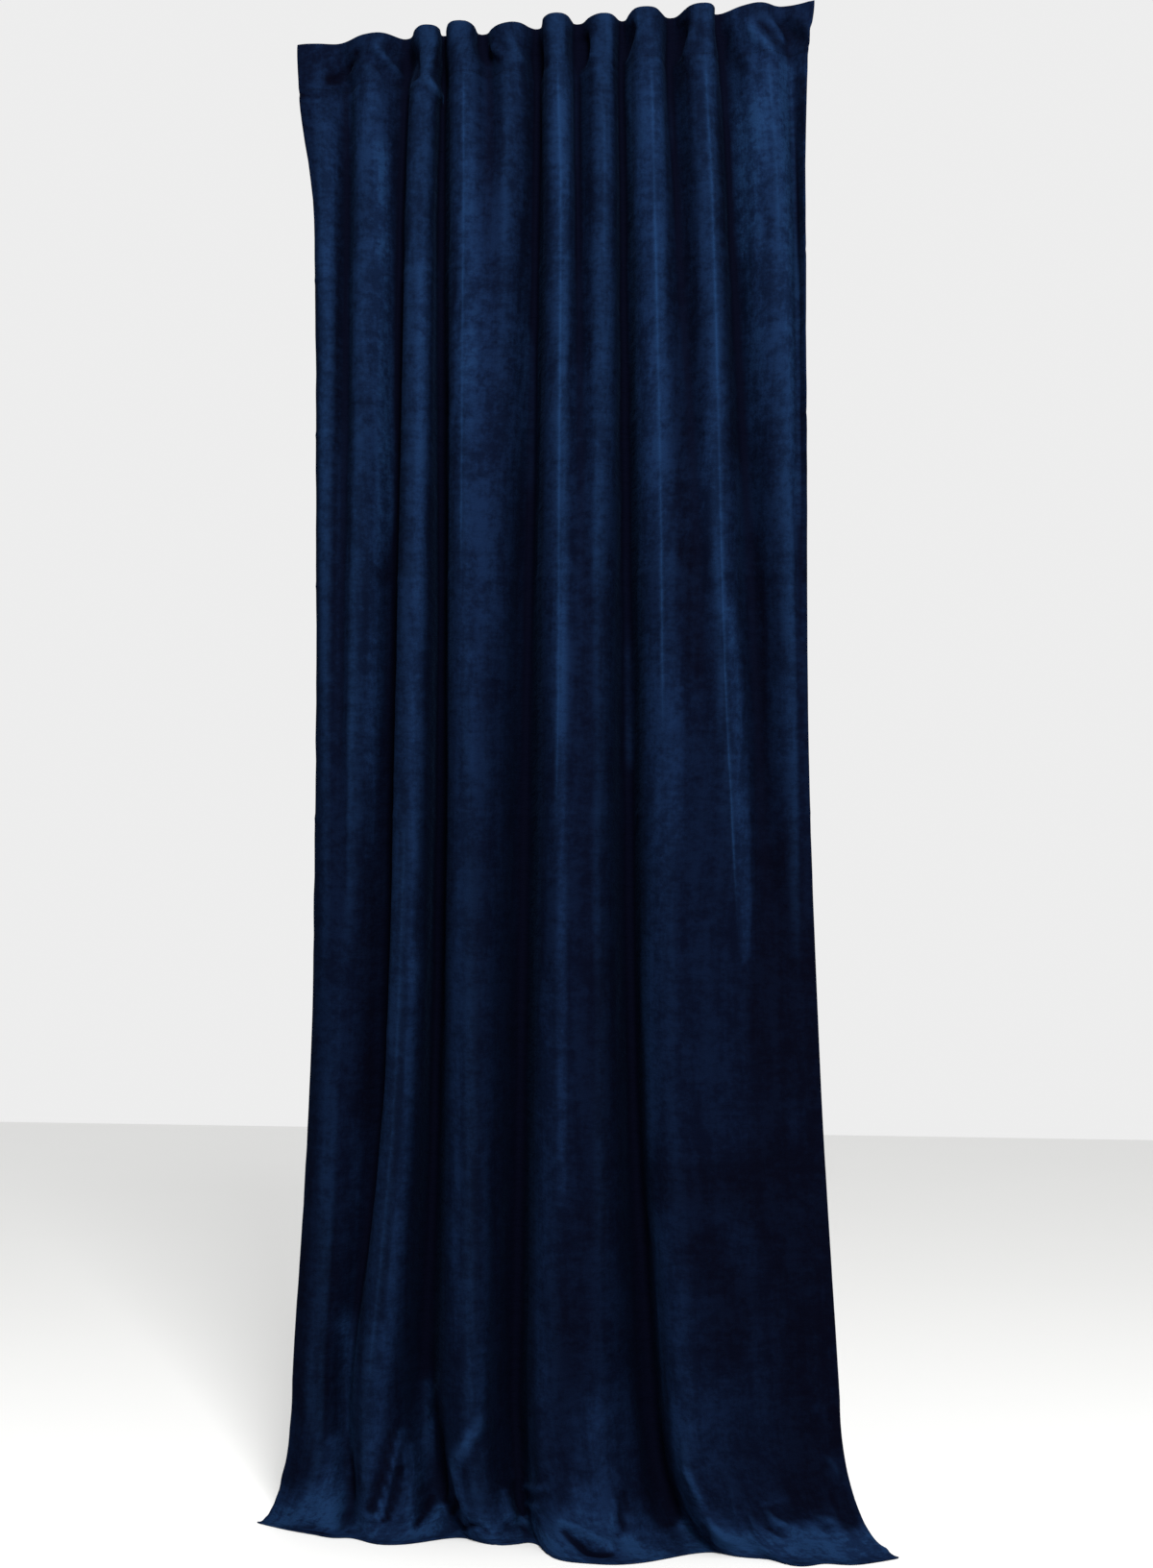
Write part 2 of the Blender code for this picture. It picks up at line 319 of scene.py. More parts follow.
BANDS = (
    Band("left edge", ((-430, 400), (-430, 1100), (-438, 1700), (-448, 2220)), (18, 36), -0.95),
    Band("left edge, upper", ((-446, 84), (-434, 240), (-428, 460)), (9, 12), -0.60),
    Band("right edge, lower", ((404, 1480), (420, 1800), (443, 2250)), (14, 16), -1.00),
    Band("line left of ridge 1", ((-374, 70), (-377, 500), (-384, 900), (-385, 1040)), (6, 8), -0.55),
    Band("right border of ridge 2", ((-298, 180), (-300, 700), (-312, 1050), (-324, 1350)), (10, 10), 0.80),
    Band("valley 2, upper", ((-262, 60), (-272, 300), (-262, 600), (-262, 850)), (18, 22), -0.80),
    Band(
        "valley 2, lower",
        ((-280, 820), (-286, 1100), (-300, 1450), (-318, 1800), (-340, 2060)), (22, 20), -0.70,
    ),
    Band("ridge 3, upper", ((-226, 380), (-230, 850), (-236, 1200), (-250, 1550)), (9, 12), 0.70),
    Band("ridge 3, lower", ((-238, 1500), (-254, 1800), (-277, 2080), (-305, 2330)), (11, 12), 0.60),
    Band(
        "left of ridge 3, lower",
        ((-252, 1250), (-252, 1500), (-266, 1800), (-292, 2080)), (8, 10), -0.80,
    ),
    Band("left of valley 2, lower", ((-324, 1220), (-330, 1600), (-336, 1780)), (9, 11), -0.65),
    Band("left of valley 2, shin", ((-338, 1780), (-344, 2080), (-349, 2330)), (12, 13), 0.50),
    Band("above the crease on valley 2", ((-300, 877), (-242, 877)), (16, 16), -1.00),
    Band(
        "valley 3",
        ((-190, 30), (-193, 300), (-203, 700), (-214, 1350), (-222, 1800), (-226, 2180)), (14, 26), -0.50,
    ),
    Band("left flank of ridge 4, waist", ((-184, 640), (-186, 1100)), (14, 14), 0.35),
    Band("pocket of valley 3", ((-206, 2236), (-202, 2330), (-198, 2378)), (17, 14), -0.90),
    Band("ridge 4, upper", ((-150, 230), (-150, 560)), (20, 20), 0.45),
    Band("ridge 4, waist", ((-138, 600), (-126, 960)), (30, 30), 0.30),
    Band("ridge 4, lower", ((-140, 1020), (-152, 1340), (-160, 1700), (-162, 2100)), (22, 16), 0.40),
    Band("ridge 4, border", ((-120, 2140), (-127, 2240)), (9, 12), 0.25),
    Band("left of ridge 4, knee", ((-144, 1330), (-142, 2000)), (11, 13), -0.40),
    Band("ridge 4, bend", ((-134, 2256), (-152, 2284), (-169, 2306)), (12, 15), 1.00),
    Band("ridge 4, ankle", ((-166, 2318), (-157, 2350), (-150, 2400)), (10, 12), 0.65),
    Band("ridge 5, upper", ((-106, 90), (-106, 250)), (30, 30), -0.30),
    Band("valley 5, upper", ((-36, 20), (-35, 300), (-48, 800)), (20, 24), -0.80),
    Band("valley 5, waist", ((-52, 780), (-52, 1000), (-66, 1400), (-70, 1640)), (26, 28), -0.50),
    Band("valley 5, lower", ((-74, 1600), (-80, 1900), (-76, 2260)), (28, 26), -0.60),
    Band("left of ridge 6", ((-16, 1560), (-22, 1850), (-22, 2200)), (14, 16), 0.30),
    Band("line on ridge 6", ((8, 950), (12, 1250), (14, 1900)), (8, 7), 0.50),
    Band("right of ridge 6", ((52, 110), (52, 520)), (26, 26), -0.35),
    Band("right of ridge 6, lower", ((60, 860), (62, 1500), (58, 1900)), (24, 26), -0.40),
    Band("left of valley 7, knee", ((80, 1500), (78, 1950)), (18, 20), -0.50),
    Band("valley 7, upper", ((93, 40), (92, 400), (96, 840)), (6, 8), -0.70),
    Band("valley 7, waist", ((104, 820), (110, 1250), (112, 1700)), (12, 22), -0.45),
    Band(
        "valley 7, lower",
        ((114, 1650), (122, 1920), (138, 2140), (150, 2260), (154, 2330), (166, 2376)), (20, 17), -0.80,
    ),
    Band("valley 7, left side", ((118, 1950), (122, 2150), (131, 2260), (146, 2340)), (14, 13), -0.55),
    Band("valley 7, right side", ((192, 2190), (197, 2300), (204, 2376)), (8, 12), 0.50),
    Band("valley 7, foot", ((202, 2412), (218, 2444), (240, 2492)), (16, 26), 0.70),
    Band("valley 7, end", ((160, 2358), (180, 2396)), (19, 17), -0.90),
    Band("above the right foot", ((330, 2366), (372, 2364)), (20, 20), -0.25),
    Band("border of valley 7, foot", ((117, 2416), (138, 2444), (170, 2492)), (12, 17), 1.00),
    Band("right of that border", ((164, 2398), (208, 2448)), (11, 12), -0.50),
    Band("face of ridge 8", ((140, 480), (146, 860)), (28, 28), 0.30),
    Band("face of ridge 8, lower", ((152, 1020), (166, 1300), (146, 1560), (150, 2150)), (26, 16), 0.45),
    Band("right of ridge 8", ((192, 60), (200, 350), (212, 860)), (20, 24), -0.60),
    Band("right of ridge 8, waist", ((214, 860), (222, 1060)), (20, 16), -0.80),
    Band("line on ridge 9", ((274, 950), (285, 1060), (296, 1300), (304, 1500)), (8, 12), 1.00),
    Band("right of ridge 9, upper", ((257, 180), (259, 330), (269, 480), (284, 720)), (10, 12), -0.80),
    Band("right of ridge 9, lower", ((308, 820), (320, 1000), (322, 1300), (326, 1640)), (10, 20), -0.75),
    Band("right face, upper", ((304, 170), (300, 370)), (30, 26), 1.00),
    Band("border of the right face", ((362, 100), (370, 420), (382, 820)), (9, 10), 0.90),
    Band("right edge", ((384, 120), (390, 500), (392, 900)), (8, 8), -0.70),
    Band("right face, waist", ((352, 1090), (354, 1190)), (26, 22), 0.35),
    Band("right face, knee", ((352, 1350), (362, 1620), (372, 1900)), (50, 64), -1.00),
    Band("right face, shin", ((372, 1850), (388, 2120), (402, 2326)), (62, 44), -1.00),
    Band("dark cloud on ridge 9", ((186, 1858), (318, 1872)), (44, 44), -0.90),
    Band("second cloud on ridge 9", ((236, 1960), (286, 2040), (276, 2108)), (42, 40), -0.95),
    Band("light between the clouds", ((186, 1950), (196, 2150), (212, 2240)), (22, 20), 0.25),
    Band("left foot, inner side", ((-348, 2300), (-346, 2360), (-340, 2436)), (6, 12), -0.40),
    Band("left foot", ((-476, 2462), (-430, 2424), (-384, 2372)), (44, 36), 0.85),
    Band("left foot, crest", ((-376, 2326), (-372, 2440)), (11, 18), 0.60),
    Band("above the left foot", ((-460, 2330), (-410, 2300)), (24, 20), -0.35),
    Band("left of ridge 2, ankle", ((-362, 2110), (-357, 2270)), (10, 10), 0.45),
    Band("hem of ridge 3", ((-300, 2450), (-230, 2466)), (30, 26), 0.60),
    Band("ridge 3, trough", ((-273, 2264), (-280, 2312), (-288, 2350), (-297, 2384)), (5, 10), -1.00),
    Band("ridge 3, left crest", ((-265, 2266), (-271, 2310), (-277, 2350), (-284, 2402)), (5, 6), 1.00),
    Band("ridge 3, hollow", ((-261, 2318), (-266, 2360), (-274, 2408)), (5, 6), -0.90),
    Band("ridge 3, right crest", ((-257, 2290), (-250, 2340), (-242, 2390), (-234, 2450)), (5, 5), 0.70),
    Band("left of the tooth", ((-222, 2380), (-231, 2444)), (5, 5), -0.90),
    Band("front of ridge 6, shin", ((40, 1940), (52, 2170)), (38, 38), -0.45),
    Band("light left of ridge 1's line", ((-388, 140), (-390, 400)), (8, 8), 0.50),
    Band("left edge at the chest", ((-428, 400), (-430, 480)), (22, 22), -0.50),
    Band("ridge 5 above the waist", ((-64, 490), (-60, 580), (-58, 700), (-55, 810)), (13, 20), 0.85),
    Band("ridge 9 above the waist", ((264, 600), (238, 740), (228, 850)), (18, 18), 0.40),
    Band("ridge 9 under the heading", ((192, 150), (194, 190)), (22, 22), 0.40),
    Band("left of ridge 4's crest", ((-160, 400), (-150, 470)), (20, 20), -0.60),
    Band(
        "right flank of ridge 4",
        ((-146, 1080), (-148, 1180), (-136, 1360), (-130, 1700), (-140, 2100)), (8, 16), -0.50,
    ),
    Band("left of ridge 1, shin", ((-387, 1940), (-389, 2260)), (15, 16), -0.90),
    Band("ridge 2, ankle", ((-370, 2090), (-374, 2330)), (14, 16), 0.70),
    Band("border of valley 7", ((98, 380), (96, 620), (98, 900), (102, 1300)), (8, 12), 0.40),
    Band("left of valley 7, shin", ((148, 2060), (158, 2200)), (14, 14), 0.50),
    Band("right of valley 7, ankle", ((213, 2294), (227, 2322), (240, 2352)), (6, 7), 0.80),
    Band("light on the right face, knee", ((322, 1310), (318, 1440)), (16, 14), 0.60),
    Band("spot on the right face", ((376, 1750), (378, 1800)), (18, 18), 0.70),
    Band("right side of the right face", ((388, 220), (392, 320), (386, 440)), (8, 8), 0.70),
    Band("front of ridge 6, ankle", ((2, 2040), (40, 2260), (50, 2300)), (26, 26), -0.55),
    Band("upper ripple on ridge 5", ((-70, 2355), (-44, 2342), (-8, 2326)), (5, 5), 0.60),
    Band("lower ripple on ridge 5", ((-66, 2385), (-32, 2370)), (5, 5), 0.45),
    Band("hem of ridge 5", ((-52, 2424), (-8, 2436)), (20, 24), 0.65),
    Band("crest right of ridge 4", ((-94, 2352), (-85, 2385), (-79, 2410), (-66, 2424)), (4, 7), 0.95),
    Band("hollow beside the crest", ((-84, 2346), (-75, 2380), (-67, 2404)), (5, 5), -0.85),
    Band("valley 3, ankle", ((-238, 2210), (-240, 2340)), (15, 16), 0.90),
    Band("tooth", ((-205, 2404), (-207, 2456)), (9, 22), 1.00),
    Band("under ridge 4", ((-164, 2366), (-174, 2388), (-184, 2408)), (8, 8), -0.75),
    Band("line under ridge 4", ((-176, 2414), (-156, 2456)), (6, 7), -0.30),
    Band("arc at ridge 4's hem", ((-156, 2444), (-138, 2422)), (6, 6), -0.45),
    Band("spot at ridge 4's hem", ((-112, 2418), (-98, 2430)), (9, 8), 0.60),
    Band("hem of ridge 4", ((-130, 2462), (-70, 2476)), (20, 20), 0.35),
    Band("under ridge 5", ((-76, 2250), (-74, 2326)), (14, 12), -0.30),
    Band("valley 5, ankle", ((-50, 2250), (-46, 2400)), (14, 20), 0.50),
    Band("left of the lip, ankle", ((20, 2250), (22, 2340)), (14, 14), -0.30),
    Band("front of ridge 6", ((48, 2210), (48, 2370)), (30, 44), 0.40),
    Band("hem of ridge 6", ((-20, 2440), (20, 2456), (60, 2480)), (22, 22), 0.50),
    Band("lip", ((22, 2383), (50, 2396), (77, 2414), (106, 2438)), (5, 10), 1.00),
    Band("under the lip", ((27, 2402), (50, 2424), (72, 2450), (104, 2458)), (6, 9), -1.00),
    Band("pleat on ridge 7", ((110, 2340), (112, 2400), (114, 2440)), (5, 8), -0.80),
    Band("left of that pleat", ((101, 2348), (103, 2396)), (5, 5), 0.60),
    Band("left of the lip", ((16, 2330), (16, 2376)), (9, 9), -0.35),
    Band("left of ridge 8's crest", ((238, 2394), (247, 2450)), (7, 9), -0.40),
    Band("crest of ridge 8", ((249, 2374), (263, 2396), (282, 2426)), (6, 12), 0.95),
    Band("right foot", ((300, 2434), (400, 2424), (476, 2444)), (34, 48), 1.00),
    Band("bent wrinkle", ((350, 2374), (396, 2401)), (5, 6), 0.80),
    Band("under the bent wrinkle", ((342, 2386), (370, 2405)), (4, 5), -0.60),
    Band("thin line above the bent wrinkle", ((334, 2344), (370, 2338)), (5, 5), 0.50),
    Band("edge above the right foot", ((450, 2336), (466, 2388)), (16, 14), -0.90),
    Band("over the wrinkle by the right foot", ((402, 2306), (438, 2320)), (8, 8), -0.60),
    Band("spot at the right shin", ((412, 2212), (430, 2218)), (9, 9), 0.60),
    Band("right of valley 7, waist", ((100, 1000), (103, 1190)), (12, 12), 0.65),
    Band("right of ridge 8, knee", ((194, 1050), (196, 1320)), (13, 13), 0.40),
    Band("left of valley 2, chest", ((-300, 200), (-302, 370)), (11, 11), 0.40),
    Band("valley 2, above the waist", ((-292, 650), (-294, 850)), (11, 11), 0.30),
    Band("middle of the right face", ((308, 380), (318, 650)), (20, 20), 0.45),
    Band("right side of the right face, lower", ((383, 430), (386, 610)), (9, 9), 0.75),
    Band("left tab's pull", ((-340, 28), (-376, 50), (-396, 62)), (11, 8), -0.80),
    Band("pocket in valley 2", ((-256, 34), (-246, 78)), (26, 16), -0.90),
    Band("hollow left of valley 4", ((-138, 24), (-128, 52)), (6, 6), -0.30),
    Band("crumples in valley 4", ((-118, 28), (-104, 54)), (12, 10), -0.60),
    Band("light crumple in valley 4", ((-114, 26), (-102, 46)), (4, 4), 0.70),
    Band("right border of valley 5", ((-24, 60), (-22, 300)), (6, 7), -0.70),
    Band("right of valley 7, heading", ((107, 92), (108, 260)), (10, 10), 0.40),
    Band("left of ridge 9, heading", ((214, 20), (216, 260)), (12, 12), -0.30),
    Band("under ridge 10's crease", ((262, 66), (298, 98)), (12, 10), -0.50),
    Band("top of the right face", ((284, 10), (306, 56)), (20, 18), 0.60),
    Band("lower line of the left tab", ((-448, 82), (-416, 89), (-398, 85), (-386, 76)), (4, 4), -0.60),
    Band("under the left tab's pull", ((-388, 62), (-354, 46)), (14, 10), -0.50),
    Band("end of the left tab's pull", ((-350, 28), (-342, 38)), (7, 7), -0.60),
    Band("ridge 3 at the stitches", ((-218, 12), (-215, 92)), (13, 13), -0.35),
    Band("pocket in valley 6", ((30, 24), (30, 66)), (15, 11), -0.95),
    Band("pocket in valley 7", ((120, 22), (98, 56)), (11, 8), -0.80),
    Band("pocket in valley 8", ((192, 18), (188, 66)), (18, 13), -0.95),
    Band("first stroke at the right corner", ((325, 32), (347, 57)), (4, 4), -0.80),
    Band("second stroke at the right corner", ((350, 28), (366, 58)), (4, 4), -0.80),
    Band("light between the strokes", ((339, 28), (357, 54)), (3, 3), 0.60),
    Band("under the strokes", ((348, 62), (366, 72)), (8, 8), -0.70),
    Band("right corner", ((380, 40), (388, 72)), (14, 10), -0.60),
    Band("crease on ridge 10", ((302, 30), (318, 52), (344, 83)), (5, 5), 0.90),
    Band("crease on ridge 2", ((-310, 20), (-296, 38), (-276, 60)), (5, 5), 0.50),
)


@dataclass(frozen=True)
class Cloth:
    """The cut and sewn panel, laid flat, and the sheet it is made of."""

    width: float = 1.40
    length: float = 2.50
    drop: float = 2.44
    single: float = 0.0015
    doubled: float = 0.003
    heading: float = 0.080
    bottom_hem: float = 0.080
    side_hem: float = 0.025
    step: float = 0.002

    def thickness(self, across: Array, down: Array) -> Array:
        """How thick the cloth is at these places.

        Args:
            across: Distance from the left edge of the flat cloth.
            down: Distance below the top edge of the flat cloth.

        Returns:
            The thickness, which steps down from the hems to the single cloth.
        """
        to_side = np.minimum(across, self.width - across) - self.side_hem
        to_top = down - self.heading
        to_bottom = self.length - self.bottom_hem - down
        inside = np.minimum(np.minimum(to_side, to_top), to_bottom) / self.step
        return self.doubled - (self.doubled - self.single) * np.clip(inside, 0.0, 1.0)


@dataclass(frozen=True)
class Folds:
    """The line that the hanging cloth follows at any length below its top edge."""

    cloth: Cloth
    levels: tuple[float, ...] = (0.0, 0.07, 0.30, 1.05, 1.67, 2.20)
    handle: float = 0.33
    handle_gain: float = 0.20
    hang_pull: float = 0.50
    lie_pull: float = 0.55
    trials: int = 22
    trial_points: int = 6
    trial_range: Pair = (0.3, 3.0)
    places: Array = field(init=False)
    slopes: Array = field(init=False)
    hem: Array = field(init=False)

    def __post_init__(self) -> None:
        """Works out the slopes that ease each crease from level to level."""
        places = np.array([crease[1:7] for crease in CREASES], float).transpose(1, 0, 2) * MM
        gaps = np.diff(self.levels)[:, None, None]
        rises = np.diff(places, axis=0) / gaps
        slopes = np.zeros_like(places)
        near = 2 * gaps[1:] + gaps[:-1]
        far = gaps[1:] + 2 * gaps[:-1]
        before, after = rises[:-1], rises[1:]
        same_way = before * after > 0
        sum_of_ways = near / np.where(same_way, before, 1.0) + far / np.where(same_way, after, 1.0)
        slopes[1:-1] = np.where(same_way, (near + far) / sum_of_ways, 0.0)
        slopes[-1] = rises[-1]
        object.__setattr__(self, "places", places)
        object.__setattr__(self, "slopes", slopes)
        object.__setattr__(self, "hem", np.array([crease.hem for crease in CREASES], float) * MM)

    @property
    def shin(self) -> float:
        """The length of cloth that hangs before it turns to the floor."""
        return self.levels[-1]

    def hanging(self, down: float) -> Array:
        """Every crease's place in plan, eased between the levels.

        Args:
            down: Length of cloth below the top edge.

        Returns:
            One row for each crease, with its x and y.
        """
        i = min(int(np.searchsorted(self.levels, down, side="right")) - 1, len(self.levels) - 2)
        gap = self.levels[i + 1] - self.levels[i]
        t = (down - self.levels[i]) / gap
        start = (2 * t**3 - 3 * t**2 + 1) * self.places[i] + (t**3 - 2 * t**2 + t) * gap * self.slopes[i]
        end = (3 * t**2 - 2 * t**3) * self.places[i + 1] + (t**3 - t**2) * gap * self.slopes[i + 1]
        return start + end

    def section(self, creases: Array, counts: tuple[int, ...]) -> Array:
        """The rounded line through the creases of one level.

        Args:
            creases: The x and y of each crease.
            counts: How many points go from each crease to the next.

        Returns:
            The points of the line, from the left edge to the right one.
        """
        ways = np.diff(creases, axis=0)
        lengths = np.linalg.norm(ways, axis=1)
        units = ways / lengths[:, None]
        headings = np.vstack([units[:1], units[:-1] + units[1:], units[-1:]])
        headings /= np.linalg.norm(headings, axis=1)[:, None]
        crosses = units[:-1, 0] * units[1:, 1] - units[:-1, 1] * units[1:, 0]
        turns = np.arctan2(crosses, (units[:-1] * units[1:]).sum(axis=1))
        handles = self.handle + self.handle_gain * np.concatenate([[0.0], turns, [0.0]]) / math.pi
        leaving = creases[:-1] + headings[:-1] * (handles[:-1] * lengths)[:, None]
        arriving = creases[1:] - headings[1:] * (handles[1:] * lengths)[:, None]
        line = []
        for i, count in enumerate(counts):
            t = np.arange(count)[:, None] / count
            line.append(bezier((creases[i], leaving[i], arriving[i], creases[i + 1]), t))
        return np.vstack([*line, creases[-1:]])

    def depth_factor(self, down: float) -> float:
        """How deep the folds have to be at this length for the line to hold the whole width of cloth.

        Args:
            down: Length of cloth below the top edge.

        Returns:
            What to multiply the creases' depths by.
        """
        creases = self.hanging(down)
        counts = (self.trial_points,) * (len(creases) - 1)
        low, high = self.trial_range
        for _ in range(self.trials):
            factor = (low + high) / 2
            line = self.section(creases * (1.0, factor), counts)
            if np.linalg.norm(np.diff(line, axis=0), axis=1).sum() < self.cloth.width:
                low = factor
            else:
                high = factor
        return factor

    def row(self, down: float, counts: tuple[int, ...]) -> Array:
        """The points of the cloth's front face at this length, in the frame.

        Args:
            down: Length of cloth below the top edge.
            counts: How many points go from each crease to the next.

        Returns:
            One point for each mesh column.
        """
        if down <= self.shin:
            line = self.section(self.hanging(down) * (1.0, self.depth_factor(down)), counts)
            return np.column_stack([line, np.full(len(line), -down)])
        t = (down - self.shin) / (self.cloth.length - self.shin)
        forward = bezier((0.0, 0.0, 1 - self.lie_pull, 1.0), t)
        lying = self.cloth.doubled - self.cloth.drop
        height = (-self.shin - lying) * bezier((1.0, 1 - self.hang_pull, 0.0, 0.0), t)
        shins = self.hanging(self.shin) * (1.0, self.depth_factor(self.shin))
        line = self.section(shins + (self.hem - shins) * forward, counts)
        return np.column_stack([line, np.full(len(line), lying + height)])


def bezier(points: tuple[Any, Any, Any, Any], t: Any) -> Any:
    """A point, or many, on a cubic curve.

    Args:
        points: The curve's four control points, as numbers or as arrays.
        t: How far along the curve, from 0 to 1.

    Returns:
        The point, or one for each t.
    """
    a, b, c, d = points
    return a * (1 - t) ** 3 + b * 3 * t * (1 - t) ** 2 + c * 3 * t**2 * (1 - t) + d * t**3


@dataclass
class Panel:
    """The sheet of cloth in its folds, with its finer creases, as one closed mesh.

    Each pair of waves is how many there are to a metre across and down the cloth.
    """

    cloth: Cloth
    folds: Folds
    columns: int = 268
    fewest_columns: int = 3
    heading_rows: int = 36
    heading_zone: float = 0.13
    hanging_rows: int = 66
    lying_rows: int = 66
    row_share: float = 0.9
    packing_creases: tuple[float, ...] = (0.39, 0.645, 0.893, 1.276)
    packing_height: float = 0.0008
    packing_width: float = 0.0045
    packing_rows: tuple[float, ...] = (-2.0, -1.0, 0.0, 1.0, 2.0)
    stitch_row: float = 0.077
    stitch_groove: float = 0.0009
    stitch_width: float = 0.0035
    crinkle_gain: float = 1.7
    crinkle_swell: float = 0.7
    crinkle_flank: float = 1.5
    swell: float = 0.0024
    swell_waves: Pair = (9.0, 2.2)
    rumple: float = 0.0013
    pleat_waves: Pair = (34.0, 6.0)
    crumple_waves: Pair = (20.0, 18.0)
    pucker_waves: Pair = (44.0, 36.0)
    noise_slice: float = 3.0
    heading_looseness: float = 0.8
    heading_reach: float = 0.10
    hem_looseness: float = 1.4
    hem_reach: float = 0.22
    held_down: float = 0.045
    clearance: float = 0.0002
    slack: float = 0.00001
    edge_bulge: float = 0.45
    # How the painted crest highlights fade in and out, how the painted patches and bands end at their
    # edges, and their share on the back.
    crest_fades: Pair = (80.0, 150.0)
    patch_power: float = 1.2
    band_power: float = 3.0
    brushed_and_painted_light_behind: float = 0.3
    row_lengths: Array = field(init=False)
    across: Array = field(init=False)
    faces: dict[Side, Array] = field(init=False)

    def counts(self) -> tuple[int, ...]:
        """How many mesh columns each stretch between two creases takes, by its usual length."""
        spans = np.linalg.norm(np.diff(self.folds.places, axis=1), axis=2).mean(axis=0)
        counts = np.maximum(np.rint(spans / spans.sum() * self.columns), self.fewest_columns)
        return tuple(int(count) for count in counts)

    def rows(self) -> Array:
        """The length of cloth at each mesh row.

        Returns:
            The lengths, close together in the heading, on the foot and beside each packing crease, and
            with a pair of near rows where a hem ends.
        """
        top_end = self.cloth.heading + self.cloth.step
        bottom_start = self.cloth.length - self.cloth.bottom_hem
        nearby = np.array(self.packing_rows) * self.packing_width
        rows = np.unique(
            np.concatenate([
                *(crease + nearby for crease in self.packing_creases),
                np.linspace(0.0, self.cloth.heading, self.heading_rows // 2),
                np.linspace(top_end, self.heading_zone, self.heading_rows // 2),
                np.linspace(self.heading_zone, self.folds.shin, self.hanging_rows),
                np.linspace(self.folds.shin, bottom_start - self.cloth.step, self.lying_rows * 2 // 3),
                np.linspace(bottom_start, self.cloth.length, self.lying_rows // 3),
            ]).round(5)
        )
        apart = np.diff(rows) > self.cloth.step * self.row_share
        return rows[np.concatenate([apart, [True]])]

    def front(self, rows: Array) -> tuple[Array, Array, Array]:
        """The front face before the floor holds its hem.

        Args:
            rows: The length of cloth at each mesh row.

        Returns:
            The grid of points, each one's distance from the left edge of the flat cloth, and the way
            that the plain folds face there, which the finer creases rise along.
        """
        counts = self.counts()
        grid = np.array([self.folds.row(float(down), counts) for down in rows])
        steps = np.linalg.norm(np.diff(grid, axis=1), axis=2)
        across = np.concatenate([np.zeros((len(rows), 1)), np.cumsum(steps, axis=1)], axis=1)
        across *= self.cloth.width / across[:, -1:]
        down = np.repeat(rows[:, None], grid.shape[1], axis=1)
        facing = normals(grid)
        grid += facing * self.relief(grid, across, down)[..., None]
        return grid, across, facing

    def relief(self, grid: Array, across: Array, down: Array) -> Array:
        """How far each point stands proud of the plain folds.

        Args:
            grid: The points of the plain folds.
            across: Distance from the left edge of the flat cloth.
            down: Distance below the top edge of the flat cloth.

        Returns:
            The height along the face's normal.
        """
        place = np.stack([grid[..., 0], down], axis=-1)
        height = np.zeros(down.shape)
        for crinkle in HEADING_CRINKLES + HEM_CRINKLES:
            height += self.crinkle_height(crinkle, place)
        for crease in self.packing_creases:
            height += self.packing_height * np.exp(-(((down - crease) / self.packing_width) ** 2))
        height -= self.stitch_groove * np.exp(-(((down - self.stitch_row) / self.stitch_width) ** 2))
        height += self.swell * self.wander(across, down, self.swell_waves)
        at_heading = np.exp(-((down / self.heading_reach) ** 2))
        at_hem = np.clip((down - self.folds.shin) / self.hem_reach, 0.0, 1.0)
        loose = 1.0 + self.heading_looseness * at_heading + self.hem_looseness * at_hem
        height += self.rumple * self.wander(across, down, self.pleat_waves)
        height += self.rumple * loose * self.wander(across, down, self.crumple_waves)
        height += self.rumple * (loose - 1.0) * self.wander(across, down, self.pucker_waves)
        return height * (1.0 - self.held(down))

    def held(self, down: Array) -> Array:
        """How far the floor holds the hem's edge flat at this length of cloth, from 0 to 1."""
        return np.clip((down - self.cloth.length) / self.held_down + 1.0, 0.0, 1.0)

    def wander(self, across: Array, down: Array, waves: Pair) -> Array:
        """Smooth unevenness of the cloth, the same on every run.

        Args:
            across: Distance from the left edge of the flat cloth.
            down: Distance below the top edge of the flat cloth.
            waves: How many waves there are to a metre, both ways.

        Returns:
            A value from -1 to 1 for each point.
        """
        places = zip((across * waves[0]).ravel(), (down * waves[1]).ravel())
        values = [noise.noise(Vector((*place, self.noise_slice))) for place in places]
        return np.array(values).reshape(across.shape)

    def crinkle_height(self, crinkle: Crinkle, place: Array) -> Array:
        """The height that one crinkle gives the cloth.

        Args:
            crinkle: The crinkle.
            place: Each point's x, and its distance below the top edge of the flat cloth.

        Returns:
            The height of each point.
        """
        nearest, along = beside(crinkle.path, place)
        width = (crinkle.widths[0] + (crinkle.widths[1] - crinkle.widths[0]) * along) * MM
        swell = np.sin(np.pi * along) ** self.crinkle_swell
        share = swell + (1 - swell) * np.where(along < 0.5, crinkle.ends[0], crinkle.ends[1])
        flank = np.exp(-((nearest / width) ** self.crinkle_flank))
        return self.crinkle_gain * crinkle.height * MM * share * flank

    def painted_crest_lines(self, rows: Array) -> Array:
        """How light the painted highlight line is along the crest of each ridge.

        Args:
            rows: The length of cloth at each mesh row.

        Returns:
            A value from 0 to 1 for each point.
        """
        columns = np.concatenate([[0], np.cumsum(self.counts())])
        names = [crease.name for crease in CREASES]
        light = np.zeros((len(rows), columns[-1] + 1))
        for crest in CRESTS:
            fade_in = np.clip((rows / MM - crest.start) / self.crest_fades[0], 0.0, 1.0)
            fade_out = np.clip((crest.end - rows / MM) / self.crest_fades[1], 0.0, 1.0)
            column = columns[names.index(crest.ridge)]
            light[:, column] = np.maximum(light[:, column], crest.lightness * fade_in * fade_out)
        return light

